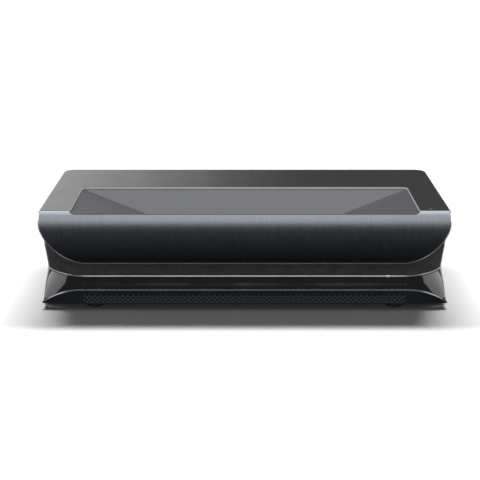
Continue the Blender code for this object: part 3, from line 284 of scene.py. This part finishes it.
SLOT_LOOKS = {
    "deck_satin": DECK,
    "fascia_brushed": FASCIA,
    "gloss_black": GLOSS,
    "accent_champagne": ACCENT,
    "status_white": LAMP,
    "skirt_metal": SKIRT,
    "well_matte": WELL,
    "window_glass": GLASS,
    "matte_black": MATTE,
    "pan_steel": PAN,
    "rubber_black": RUBBER,
    "screw_steel": STEEL,
    "raw_aluminium": ALUMINIUM,
    "cast_alloy": CAST,
    "copper": COPPER,
    "board_green": BOARD,
    "port_shell": PORT_METAL,
    "port_black": MATTE,
    "mirror_coat": MIRROR,
    "lens_glass": GLASS,
    "wheel_glass": WHEEL,
    "cone_paper": CONE,
    "fan_plastic": MATTE,
}
for entry in frame["record"]["subparts"]:
    node = NODES[entry["node"]]
    look = SLOT_LOOKS[entry["material_slot"]]
    node.data.materials.clear()
    node.data.materials.append(look)

# ---------------------------------------------------------------- shape helpers


def piece(name, bm, looks, body="housing", stands_for=()):
    """A shown piece from a bmesh: its materials, its body and the CAD nodes it stands for."""
    bmesh.ops.recalc_face_normals(bm, faces=bm.faces)
    mesh = bpy.data.meshes.new(name)
    bm.to_mesh(mesh)
    bm.free()
    obj = bpy.data.objects.new(name, mesh)
    SCENE.collection.objects.link(obj)
    for look in looks if isinstance(looks, (list, tuple)) else [looks]:
        mesh.materials.append(look)
    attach(obj, body)
    if stands_for:
        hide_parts(*stands_for)
    return obj


def smooth(obj, angle=30.0):
    obj.data.shade_smooth()
    obj.data.set_sharp_from_angle(angle=math.radians(angle))
    return obj


def sheet_mesh(outer, inner, look_of=None):
    """Closed body between two matching grids; look_of(row, column) picks outer faces' material."""
    bm = bmesh.new()
    out, ins = [[[bm.verts.new(p) for p in row] for row in grid] for grid in (outer, inner)]
    rows, columns = len(outer), len(outer[0])
    for skin in (out, ins):
        for r in range(rows - 1):
            for c in range(columns - 1):
                face = bm.faces.new(
                    (skin[r][c], skin[r][c + 1], skin[r + 1][c + 1], skin[r + 1][c])
                )
                if look_of and skin is out:
                    face.material_index = look_of(r, c)
    for r in (0, rows - 1):
        for c in range(columns - 1):
            face = bm.faces.new((out[r][c], out[r][c + 1], ins[r][c + 1], ins[r][c]))
            if look_of:
                face.material_index = look_of(min(r, rows - 2), c)
    for c in (0, columns - 1):
        for r in range(rows - 1):
            face = bm.faces.new((out[r][c], out[r + 1][c], ins[r + 1][c], ins[r][c]))
            if look_of:
                face.material_index = look_of(r, min(c, columns - 2))
    return bm


def offset(path, distance):
    """The open path moved to its left by a distance, corners mitred."""
    moved = []
    for i, (u, v) in enumerate(path):
        before = path[max(i - 1, 0)]
        after = path[min(i + 1, len(path) - 1)]
        sides = []
        for (u0, v0), (u1, v1) in ((before, (u, v)), ((u, v), after)):
            length = math.hypot(u1 - u0, v1 - v0)
            if length > 1e-9:
                sides.append(((v0 - v1) / length, (u1 - u0) / length))
        mean_u = sum(side[0] for side in sides)
        mean_v = sum(side[1] for side in sides)
        size = math.hypot(mean_u, mean_v)
        mean_u, mean_v = mean_u / size, mean_v / size
        along = mean_u * sides[0][0] + mean_v * sides[0][1]
        moved.append((u + mean_u * distance / along, v + mean_v * distance / along))
    return moved


def interpolate(pairs, at):
    if at <= pairs[0][0]:
        return pairs[0][1]
    for (a, va), (b, vb) in zip(pairs, pairs[1:]):
        if at <= b:
            return va + (vb - va) * (at - a) / max(b - a, 1e-12)
    return pairs[-1][1]


def eased(knots, count):
    """Points on a Catmull-Rom curve through knots of any length."""
    found = []
    spans = len(knots) - 1
    for i in range(count):
        place = min(i * spans / (count - 1), spans - 1e-9)
        k = int(place)
        t = place - k
        p0, p1 = knots[max(k - 1, 0)], knots[k]
        p2, p3 = knots[k + 1], knots[min(k + 2, spans)]
        found.append(
            tuple(
                0.5 * (2 * b + (c - a) * t + (2 * a - 5 * b + 4 * c - d) * t * t
                       + (3 * b - a - 3 * c + d) * t ** 3)
                for a, b, c, d in zip(p0, p1, p2, p3)
            )
        )
    return found


def arc(centre, radius, start, stop, steps):
    turns = [math.radians(start + (stop - start) * i / steps) for i in range(steps + 1)]
    return [
        (centre[0] + radius * math.cos(turn), centre[1] + radius * math.sin(turn))
        for turn in turns
    ]


def bend(centre, radii, power, steps):
    """A quarter of a superellipse, from its end on +v to its end on +u."""
    turns = [math.radians(90) * i / steps for i in range(steps + 1)]
    return [
        (
            centre[0] + radii[0] * math.sin(turn) ** (2 / power),
            centre[1] + radii[1] * math.cos(turn) ** (2 / power),
        )
        for turn in turns
    ]


def mirrored(right_half):
    return [(-u, v) for u, v in reversed(right_half) if u > 1e-6] + right_half


# ---------------------------------------------------------------- front fascia
NOSE = [FASCIA_PROFILE[0]] + eased(FASCIA_PROFILE[1:], 90)
NOSE_RUN = [0.0]
for one, two in zip(NOSE, NOSE[1:]):
    NOSE_RUN.append(NOSE_RUN[-1] + math.hypot(two[0] - one[0], two[1] - one[1]))
NOSE_IN = offset(NOSE, 1.0)
CUT_WIDTH, CUT_DEPTH, BEAD = 0.0018, 0.0013, 0.00045


def on_nose(run, depth):
    """The point a distance along the nose's profile, sunk into the sheet by a depth."""
    for k in range(len(NOSE) - 1):
        if run <= NOSE_RUN[k + 1] or k == len(NOSE) - 2:
            t = (run - NOSE_RUN[k]) / (NOSE_RUN[k + 1] - NOSE_RUN[k])
            t = min(max(t, 0.0), 1.0)
            y, z = [a + (b - a) * t for a, b in zip(NOSE[k], NOSE[k + 1])]
            y_in, z_in = [a + (b - a) * t for a, b in zip(NOSE_IN[k], NOSE_IN[k + 1])]
            length = math.hypot(y_in - y, z_in - z)
            return y + (y_in - y) * depth / length, z + (z_in - z) * depth / length
    return NOSE[-1]


def run_at(value, axis):
    """How far along the profile it first passes a Y (axis 0) or a Z (axis 1), going down."""
    for k in range(len(NOSE) - 1):
        a, b = NOSE[k][axis], NOSE[k + 1][axis]
        if a >= value >= b:
            return NOSE_RUN[k] + (NOSE_RUN[k + 1] - NOSE_RUN[k]) * (a - value) / max(a - b, 1e-12)
    return NOSE_RUN[-1]


def build_fascia():
    corner = bend((CORNER_X, CORNER_Z), (CORNER_R, FASCIA_BOTTOM - CORNER_Z), CORNER_POWER, 44)
    before, after = (CORNER_X - 0.02, FASCIA_BOTTOM), (HALF_W, CORNER_Z + 0.02)
    inside = offset([before, *corner, after], CUT_WIDTH)
    inside.sort()
    outline = [(0.0, FASCIA_BOTTOM), *corner]
    xs = {0.0, 0.06, 0.12, 0.18, 0.22}
    xs |= {x for x, _ in corner[1:-1] if x < HALF_W - CUT_WIDTH - 0.0002}
    xs |= {HALF_W - CUT_WIDTH, HALF_W - CUT_WIDTH / 2, HALF_W}
    turn = WELL_HALF_X - WELL_CORNER
    xs |= {turn + WELL_CORNER * math.sin(math.radians(a)) for a in range(0, 91, 10)}
    xs |= {WELL_HALF_X + 0.0002}
    xs = sorted(xs)
    xs = [x for i, x in enumerate(xs) if i == 0 or x - xs[i - 1] > 0.00015]
    xs = [-x for x in reversed(xs) if x > 0] + xs
    rows = 44
    outer = []
    inner = []
    for x in xs:
        side = abs(x)
        if side > WELL_HALF_X:
            start = 0.0
        elif side <= turn:
            start = run_at(WELL_FRONT, 0)
        else:
            rise = math.sqrt(max(WELL_CORNER**2 - (side - turn) ** 2, 0.0))
            start = run_at(max(WELL_FRONT, WELL_FRONT + WELL_CORNER - rise), 0)
        stop = run_at(interpolate(outline, side), 1)
        past = max(side - (HALF_W - CUT_WIDTH), 0.0) / CUT_WIDTH
        band = run_at(interpolate(inside, side), 1) if past <= 0 else stop - 0.0008
        band = min(max(band, start + 0.002), stop - 0.0002)
        lip = 0.0002
        runs = [start, start + lip]
        runs += [start + lip + (band - start - lip) * (i + 1) / rows for i in range(rows)]
        runs += [band + (stop - band) * 0.3, band + (stop - band) * 0.7, stop]
        edge_drop = CUT_DEPTH * past
        drops = [max(edge_drop, lip)] + [edge_drop] * (rows + 1)
        drops += [edge_drop - BEAD, edge_drop - BEAD, edge_drop + BEAD]
        outer.append([(x, *on_nose(run, drop)) for run, drop in zip(runs, drops)])
        inner.append([(x, *on_nose(run, FASCIA_THICK)) for run in runs])

    last = len(xs) - 2

    def look_of(column, row):
        at_end = abs(xs[column]) >= HALF_W - CUT_WIDTH - 1e-6 and column in (0, 1, last - 1, last)
        return 1 if row > rows or (at_end and row > 2) else 0

    bm = sheet_mesh(outer, inner, look_of)
    for vert in bm.verts:
        vert.co.y = max(vert.co.y, FRONT)
    return smooth(
        piece("fascia_shell", bm, [FASCIA, FASCIA_EDGE], "housing", ["front_fascia"]),
        24,
    )


fascia = build_fascia()


# ---------------------------------------------------------------- waist cowls


def cowl_path(front, start, side=SIDE, steps=30):
    inward = SIDE - side
    rear = REAR - max(inward, 0.0)
    radius = REAR_CORNER - inward
    corner = bend((COWL_CORNER_X, start), (side - COWL_CORNER_X, front - start), COWL_POWER, steps)
    tail = arc((side - radius, rear - radius), radius, 0, 90, 12)
    straight = [(side, start + 0.0105), (side, 0.0)]
    return mirrored([(0.0, front), (0.120, front), *corner, *straight, *tail, (COWL_END_X, rear)])


def cheek_edge(y):
    return interpolate(CHEEK_FRONT_EDGE, y)


def ledge_height(x, y):
    return min(cheek_edge(y) - GAP, interpolate([(0.120, 0.098), (COWL_CORNER_X, 0.124)], abs(x)))


def lip_height(x, y):
    return min(cheek_edge(y) + 0.012, interpolate([(0.120, 0.101), (COWL_CORNER_X, 0.1245)], abs(x)))


def cowl_grids(levels):
    outer = []
    inner = []
    for front, start, side, height, *ledge in levels:
        path = cowl_path(front, start, side)
        inset = offset(path, COWL_THICK)
        drop = sum(ledge)
        level_of = height if callable(height) else (lambda x, y, z=height: z)
        outer.append([(x, y, level_of(x, y)) for x, y in path])
        inner.append([(x, y, point[2] - drop) for (x, y), point in zip(inset, outer[-1])])
    return outer, inner


def build_cowls():
    ledge_side = CHEEK_INSIDE - 0.0010
    low = WAIST_Z + ACCENT_HALF + GAP
    knots = [(-0.1460, -0.0715, low), (-0.1475, -0.0840, 0.058), (-0.1490, -0.0950, 0.070)]
    knots += [(-0.1500, -0.1080, 0.084)]
    levels = [(front, start, SIDE, z) for front, start, z in eased(knots, 10)]
    levels += [
        (-0.1500, -0.1150, SIDE, ledge_height, 0.0022),
        (-0.1488, -0.1140, ledge_side, ledge_height, 0.0022),
        (-0.1560, -0.1210, ledge_side, lip_height),
    ]
    shape = sheet_mesh(*cowl_grids(levels))
    # The upper band's lighter gloss black is painted reflection.
    smooth(piece("waist_upper", shape, GLOSS_UPPER_PAINTED_REFLECTION, "housing", ["upper_cowl"]), 40)
    knots = [(-0.1500, -0.1310, 0.006), (-0.1500, -0.1170, 0.017), (-0.1485, -0.0980, 0.029)]
    knots += [(-0.1470, -0.0830, 0.037), (-0.1460, -0.0715, WAIST_Z - ACCENT_HALF - GAP)]
    levels = [(front, start, SIDE, z) for front, start, z in eased(knots, 12)]
    shape = sheet_mesh(*cowl_grids(levels))
    smooth(piece("waist_lower", shape, GLOSS, "housing", ["lower_cowl"]), 40)


build_cowls()


# ---------------------------------------------------------------- deck: the CAD shell with eased edges
def ease_edges(node, width, segments, angle):
    """Joins the imported mesh's split edges and rounds its sharp ones, with modifiers alone."""
    obj = NODES[node]
    obj.modifiers.new("weld", "WELD").merge_threshold = 0.00002
    step = obj.modifiers.new("ease", "BEVEL")
    step.width, step.segments = width, segments
    step.limit_method, step.angle_limit = "ANGLE", math.radians(angle)
    step.harden_normals = True
    step.use_clamp_overlap = True


ease_edges("top_cover", 0.00045, 2, 40.0)
for eased_node in ("power_button", "base_pan", "ac_inlet", "rear_panel", "port_plate"):
    ease_edges(eased_node, 0.00025, 2, 40.0)


# ---------------------------------------------------------------- light well
def build_light_well():
    rim_z, floor_z = 0.1436, 0.1080
    top = (0.25334, -0.16434, 0.0204)
    bottom = (0.10543, -0.1500, -0.0774)
    flange = (0.2600, -0.1664, 0.0265)
    window = (0.0880, -0.1455, -0.0840)
    bm = bmesh.new()

    def corners(half_x, front, rear, z):
        places = ((-half_x, front), (half_x, front), (half_x, rear), (-half_x, rear))
        return [bm.verts.new((x, y, z)) for x, y in places]

    rims, mouth, foot, hole = (
        corners(*flange, rim_z), corners(*top, rim_z), corners(*bottom, floor_z),
        corners(*window, floor_z),
    )
    rows = [(mouth[3], None, None, mouth[2])]
    for i in range(10):
        middle = WELL_REAR - 0.0075 - 0.0085 * i
        for shift, drop in ((0.0016, 0.0), (0.0, 0.00022), (-0.0016, 0.0)):
            share = (top[2] - (middle + shift)) / (top[2] - bottom[2])
            half_x = top[0] + (bottom[0] - top[0]) * share
            y, z = middle + shift, rim_z + (floor_z - rim_z) * share
            edge_x = half_x - 0.010
            rows.append(
                (
                    bm.verts.new((-half_x, y, z)),
                    bm.verts.new((-edge_x, y, z - drop)),
                    bm.verts.new((edge_x, y, z - drop)),
                    bm.verts.new((half_x, y, z)),
                )
            )
    rows.append((foot[3], None, None, foot[2]))
    # Ramp faces take the second material, the well's grey painted lighter as painted light.
    for upper, lower in zip(rows, rows[1:]):
        if upper[1] and lower[1]:
            for a, b in ((0, 1), (1, 2), (2, 3)):
                bm.faces.new((upper[a], upper[b], lower[b], lower[a])).material_index = 1
        else:
            bm.faces.new([v for v in (*upper, *reversed(lower)) if v]).material_index = 1
    bm.faces.new([row[0] for row in rows] + [foot[0], mouth[0]])
    bm.faces.new([row[3] for row in rows] + [foot[1], mouth[1]])
    bm.faces.new((mouth[0], mouth[1], foot[1], foot[0]))
    for ring, inner in ((rims, mouth), (foot, hole)):
        for a, b in ((0, 1), (1, 2), (2, 3), (3, 0)):
            bm.faces.new((ring[a], ring[b], inner[b], inner[a]))
    bmesh.ops.recalc_face_normals(bm, faces=bm.faces)
    if sum(face.normal.z for face in bm.faces) < 0:
        bmesh.ops.reverse_faces(bm, faces=bm.faces)
    mesh = bpy.data.meshes.new("well_tray")
    bm.to_mesh(mesh)
    bm.free()
    mesh.materials.append(WELL)
    mesh.materials.append(RAMP_PAINTED_LIGHT)
    tray = bpy.data.objects.new("well_tray", mesh)
    SCENE.collection.objects.link(tray)
    crease = tray.modifiers.new("crease", "BEVEL")
    crease.width, crease.segments = 0.0007, 2
    crease.limit_method, crease.angle_limit = "ANGLE", math.radians(18.0)
    thick = tray.modifiers.new("thick", "SOLIDIFY")
    thick.thickness, thick.offset = 0.0020, -1.0
    smooth(tray, 14)
    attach(tray, "housing")
    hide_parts("light_well")


build_light_well()


def build_lip():
    """The satin lining of the deck's opening round its rear and sides; its light grey is partly a
    painted highlight along the opening's edge.
    """
    reach = (WELL_HALF_X - 0.0001, WELL_REAR - 0.0001)
    corner = arc((reach[0] - WELL_CORNER, reach[1] - WELL_CORNER), WELL_CORNER, 0, 90, 12)
    half = [(reach[0], -0.1560), (reach[0], -0.10), *corner]
    path = [(-x, y) for x, y in half] + list(reversed(half))
    wall = 0.0005
    levels = ((0.1438, 0.0), (0.1463, 0.0), (0.1467, 0.0002))
    outer_grid = []
    inner_grid = []
    for z, back in levels:
        outer_grid.append([(x, y, z) for x, y in offset(path, -wall + back)])
        inner_grid.append([(x, y, z) for x, y in path])
    lip = piece("well_lip", sheet_mesh(outer_grid, inner_grid), LIP_HIGHLIGHT_AND_MARK, "housing")
    smooth(lip, 35)


build_lip()


def build_power_mark():
    """A small generic power symbol, inlaid in the button's top."""
    low, high = NODES["power_button"].bound_box[0], NODES["power_button"].bound_box[6]
    cx, cy, top = (low[0] + high[0]) / 2, (low[1] + high[1]) / 2, high[2]
    sink, rise = 0.0002, 0.00004
    bm = bmesh.new()

    def slab(outline):
        rings = [
            [bm.verts.new((cx + u, cy + v, top + z)) for u, v in outline] for z in (-sink, rise)
        ]
        for i in range(len(outline)):
            j = (i + 1) % len(outline)
            bm.faces.new((rings[0][i], rings[0][j], rings[1][j], rings[1][i]))
        bm.faces.new(rings[0])
        bm.faces.new(rings[1])

    outside = arc((0.0, 0.0), 0.00215, 125, 415, 22)
    inside = arc((0.0, 0.0), 0.00165, 415, 125, 22)
    slab(outside + inside)
    slab([(-0.00025, 0.0004), (0.00025, 0.0004), (0.00025, 0.0024), (-0.00025, 0.0024)])
    piece("power_mark", bm, LIP_HIGHLIGHT_AND_MARK, "power_button")


build_power_mark()


# ---------------------------------------------------------------- waist line
def build_accent():
    """The ring between the cowls, proud of them by a hair, with its two long edges rounded."""
    proud = 0.0003
    section = [
        (-0.0004, -ACCENT_HALF), (proud * 0.5, -ACCENT_HALF), (proud, -ACCENT_HALF + 0.0003),
        (proud, ACCENT_HALF - 0.0003), (proud * 0.5, ACCENT_HALF), (-0.0004, ACCENT_HALF),
    ]
    path = cowl_path(-0.1464, -0.0705, SIDE, 40)
    rings = []
    for out, up in section:
        rings.append([(x, min(y, REAR), WAIST_Z + up) for x, y in offset(path, -out)])
    inner = [
        [(x, min(y, REAR - 0.002), WAIST_Z + up) for x, y in offset(path, 0.0020)]
        for _, up in section
    ]
    ring = piece(
        "waist_line", sheet_mesh(rings, inner), ACCENT, "housing", ["accent_strip"]
    )
    smooth(ring, 35)


build_accent()


# ---------------------------------------------------------------- front skirt
SKIRT_LOW, SKIRT_HIGH, SKIRT_FLANGE, SKIRT_TIP = 0.0088, 0.0284, 0.0106, 0.2983
MESH_PITCH, MESH_ROW, MESH_HALF_X, MESH_ROWS = 0.0080, 0.0026, 0.2360, 4
SLOT_HALF, SLOT_TALL, SLOT_DISH = 0.0027, 0.0007, 0.0006
MESH_TOP = 0.0209


def skirt_top(x):
    past = max(abs(x) - 0.240, 0.0) / 0.0583
    return SKIRT_HIGH - 0.0188 * past**2.15


SLOT_SHAPE = (
    (-0.93, -1.0), (0.0, -1.0), (0.93, -1.0), (1.0, 0.0), (0.93, 1.0), (0.0, 1.0), (-0.93, 1.0),
    (-1.0, 0.0),
)


def skirt_point(x, t, sink=0.0):
    """A point on the skirt's face: t 0 at its top edge, 1 at its bottom one."""
    past = max(abs(x) - 0.225, 0.0) / (SKIRT_TIP - 0.225)
    y0 = -0.1550 - 0.0030 * past**2
    y1 = -0.1660 + 0.0060 * past**2
    top = skirt_top(x)
    return Vector((x, y0 + (y1 - y0) * t + sink, top + (SKIRT_LOW - top) * t))


def build_skirt():
    bm = bmesh.new()
    half = MESH_PITCH / 2
    count = int(round(2 * MESH_HALF_X / half))
    face_height = SKIRT_HIGH - SKIRT_LOW
    first = (SKIRT_HIGH - MESH_TOP) / face_height
    step = MESH_ROW / 2 / face_height
    made = {}

    def vert(column, level):
        """The shared corner at a half-pitch column and a half-pitch level below the mesh's top."""
        key = (column, level)
        if key not in made:
            made[key] = bm.verts.new(skirt_point(-MESH_HALF_X + column * half, first + level * step))
        return made[key]

    for row in range(MESH_ROWS):
        start = row % 2
        level = 2 * row
        for k in range(start, count - 1, 2):
            ring = [
                vert(k, level), vert(k + 1, level), vert(k + 2, level), vert(k + 2, level + 1),
                vert(k + 2, level + 2), vert(k + 1, level + 2), vert(k, level + 2), vert(k, level + 1),
            ]
            middle_x = -MESH_HALF_X + (k + 1) * half
            middle_t = first + (level + 1) * step
            mouth = []
            deep = []
            for along, up in SLOT_SHAPE:
                x = middle_x + along * SLOT_HALF
                t = middle_t + up * SLOT_TALL / face_height
                mouth.append(bm.verts.new(skirt_point(x, t, SLOT_DISH)))
                deep.append(bm.verts.new(skirt_point(x, t, 0.0014)))
            # Index 3, the web round the slot, carries the painted sheen; index 2 is the slot's inside.
            for n in range(8):
                m = (n + 1) % 8
                bm.faces.new((ring[n], ring[m], mouth[m], mouth[n])).material_index = 3
                bm.faces.new((mouth[n], mouth[m], deep[m], deep[n])).material_index = 2
            bm.faces.new(deep).material_index = 2
        if start:
            for k in (0, count - 1):
                corners = (
                    vert(k, level), vert(k + 1, level), vert(k + 1, level + 1),
                    vert(k + 1, level + 2), vert(k, level + 2), vert(k, level + 1),
                )
                bm.faces.new(corners)
    last = 2 * MESH_ROWS
    trim = 0.0019 / face_height
    back_path = [point for point in cowl_path(-0.1500, -0.1310) if point[1] < -0.12]
    back_path.sort()

    def frame_column(x, column=None):
        """The plain rows above and below the mesh at one X, from the top round to the back."""
        over = skirt_point(x, 0.0)
        depth = min(0.0015, (over.z - SKIRT_LOW) * 0.5)
        sunk = Vector((x, over.y + depth, over.z))
        shoulder = skirt_point(x, min(trim, 0.5))
        levels = [sunk, shoulder, shoulder + Vector((0.0, 0.0, -0.0002))]
        upper = [bm.verts.new(place) for place in levels]
        lower = [bm.verts.new(skirt_point(x, 1.0))]
        back = interpolate(back_path, x) - GAP
        lower.append(bm.verts.new((x, back, SKIRT_LOW)))
        lower.append(bm.verts.new((x, back, min(SKIRT_FLANGE, over.z - 0.0004))))
        inside = skirt_point(x, 1.0, 0.0017)
        lower.append(bm.verts.new((x, inside.y, min(SKIRT_FLANGE, over.z - 0.0004))))
        lower.append(bm.verts.new((x, over.y + depth + 0.0002, over.z - 0.0003)))
        if column is None:
            mid = [bm.verts.new(skirt_point(x, t)) for t in (first, first + last * step)]
        else:
            mid = [vert(column, level) for level in range(last + 1)]
        return upper, mid, lower

    side_xs = [MESH_HALF_X + (SKIRT_TIP - MESH_HALF_X) * i / 26 for i in range(1, 27)]
    columns = [frame_column(-x) for x in reversed(side_xs)]
    columns += [frame_column(-MESH_HALF_X + k * half, k) for k in range(count + 1)]
    columns += [frame_column(x) for x in side_xs]
    edge = len(side_xs)
    for i, (left, right) in enumerate(zip(columns, columns[1:])):
        in_mesh = edge <= i < edge + count
        pairs = list(zip(left[0] + [left[1][0]], right[0] + [right[1][0]]))
        for n, (a, b) in enumerate(zip(pairs, pairs[1:])):
            face = bm.faces.new((a[0], a[1], b[1], b[0]))
            face.material_index = 1 if n == 0 else 0
        if not in_mesh:
            bm.faces.new([left[1][0], right[1][0], *right[1][1:], *reversed(left[1][1:])])
        low_left = [left[1][-1], *left[2], left[0][0]]
        low_right = [right[1][-1], *right[2], right[0][0]]
        for a, b in zip(zip(low_left, low_right), zip(low_left[1:], low_right[1:])):
            bm.faces.new((a[0], a[1], b[1], b[0]))
    for column in (columns[0], columns[-1]):
        bm.faces.new([*column[0], *column[1], *column[2]])
    looks = [SKIRT, SKIRT_EDGE, MATTE, MESH_WEB_PAINTED_SHEEN]
    smooth(piece("skirt_grille", bm, looks, "housing", ["front_skirt"]), 26)


build_skirt()

# ---------------------------------------------------------------- floor and light
AIM = (0.0, 0.0, 0.10)
CARD_HEIGHT = 0.60
# Cards behind, each from one X to another with its power: brightest at the left.
REAR_CARDS = (
    (-1.80, -0.56, 7.00), (-0.56, -0.34, 0.86), (-0.34, -0.12, 0.46), (-0.12, 0.10, 0.13),
)


def build_floor():
    bm = bmesh.new()
    bmesh.ops.create_grid(bm, x_segments=2, y_segments=2, size=14.0)
    mesh = bpy.data.meshes.new("studio_floor")
    bm.to_mesh(mesh)
    bm.free()
    floor = bpy.data.objects.new("studio_floor", mesh)
    floor.location = (0.0, 0.0, -0.0004)
    SCENE.collection.objects.link(floor)
    made = Shader("floor_paper", (0.86, 0.86, 0.86), 0.90)
    made.main.inputs["Specular IOR Level"].default_value = 0.0
    made.vary_roughness(made.noise(3.0), 0.02, 0.02)
    mesh.materials.append(made.material)
    return floor


def area_light(name, place, target, size, power):
    """A rectangular light that no camera ray sees, aimed from its place at a target."""
    data = bpy.data.lights.new(name, "AREA")
    data.shape = "RECTANGLE"
    data.size, data.size_y = size
    data.energy = power
    lamp = bpy.data.objects.new(name, data)
    lamp.location = place
    aim = Vector(target) - Vector(place)
    lamp.rotation_euler = aim.to_track_quat("-Z", "Y").to_euler()
    lamp.visible_camera = False
    SCENE.collection.objects.link(lamp)
    return lamp


def sun_light(name, lean_back, azimuth, spread, power):
    """A far light behind the object, leaning back from overhead and turned about Z, in degrees.

    It draws the shadow and stays out of reflections, which belong to the boxes and cards."""
    data = bpy.data.lights.new(name, "SUN")
    data.energy = power
    data.angle = math.radians(spread)
    lamp = bpy.data.objects.new(name, data)
    lamp.visible_glossy = False
    lean, turn = math.radians(lean_back), math.radians(azimuth)
    aim = Vector((math.sin(lean) * math.sin(turn), -math.sin(lean) * math.cos(turn), -math.cos(lean)))
    lamp.rotation_euler = aim.to_track_quat("-Z", "Y").to_euler()
    SCENE.collection.objects.link(lamp)


def build_flag():
    """A black card flat on the floor before the object, seen by reflections alone."""
    bm = bmesh.new()
    places = ((-0.62, 0.05), (0.62, 0.05), (0.80, -4.0), (-0.80, -4.0))
    bm.faces.new([bm.verts.new((x, y, 0.0)) for x, y in places])
    mesh = bpy.data.meshes.new("black_flag")
    bm.to_mesh(mesh)
    bm.free()
    flag = bpy.data.objects.new("black_flag", mesh)
    SCENE.collection.objects.link(flag)
    made = Shader("flag_cloth", (0.008, 0.008, 0.009), 0.95)
    made.vary_colour(made.noise(40.0), 0.9, 1.1)
    mesh.materials.append(made.material)
    flag.visible_camera = False
    flag.visible_shadow = False
    flag.visible_diffuse = False
    flag.visible_transmission = False


def light_only(lamp, receiver):
    chosen = bpy.data.collections.new(lamp.name + "_lit")
    chosen.objects.link(receiver)
    lamp.light_linking.receiver_collection = chosen


def build_lights(floor, fascia):
    for azimuth in (-32.0, -16.0, 0.0, 16.0, 32.0):
        sun_light("key_strip", 35.5, azimuth, 11.0, 0.95)
    boxes = [area_light("front_box", (0.0, -1.35, 1.75), AIM, (2.4, 4.2), 88.0)]
    for left, right, power in REAR_CARDS:
        middle = (left + right) / 2
        place = (middle, 2.6, CARD_HEIGHT)
        size = (right - left, 1.2)
        boxes.append(area_light("rear_card", place, (middle, 0.0, CARD_HEIGHT), size, power))
    for side in (-1, 1):
        place, target = (side * 1.8, 0.35, 1.20), (side * 0.3, -0.1, 0.05)
        boxes.append(area_light("side_box", place, target, (2.6, 2.3), 42.0))

    # The boxes light all but the floor, so that they do not wash out its shadow.
    no_floor = bpy.data.collections.new("box_lit")
    no_floor.objects.link(floor)
    no_floor.collection_objects[0].light_linking.link_state = "EXCLUDE"
    for lamp in boxes:
        lamp.light_linking.receiver_collection = no_floor
    light_only(area_light("top_box", (0.0, 1.60, 2.10), AIM, (2.4, 3.4), 96.0), fascia)
    fill_aim = (0.0, -0.17, 0.0)
    light_only(area_light("low_fill", (0.0, -3.00, 0.35), fill_aim, (3.0, 0.3), 15.0), floor)


def build_world():
    world = bpy.data.worlds.new("studio")
    world.use_nodes = True
    background = world.node_tree.nodes["Background"]
    background.inputs["Color"].default_value = (1.0, 1.0, 1.0, 1.0)
    background.inputs["Strength"].default_value = 0.09
    SCENE.world = world


floor = build_floor()
build_flag()
build_lights(floor, fascia)
build_world()
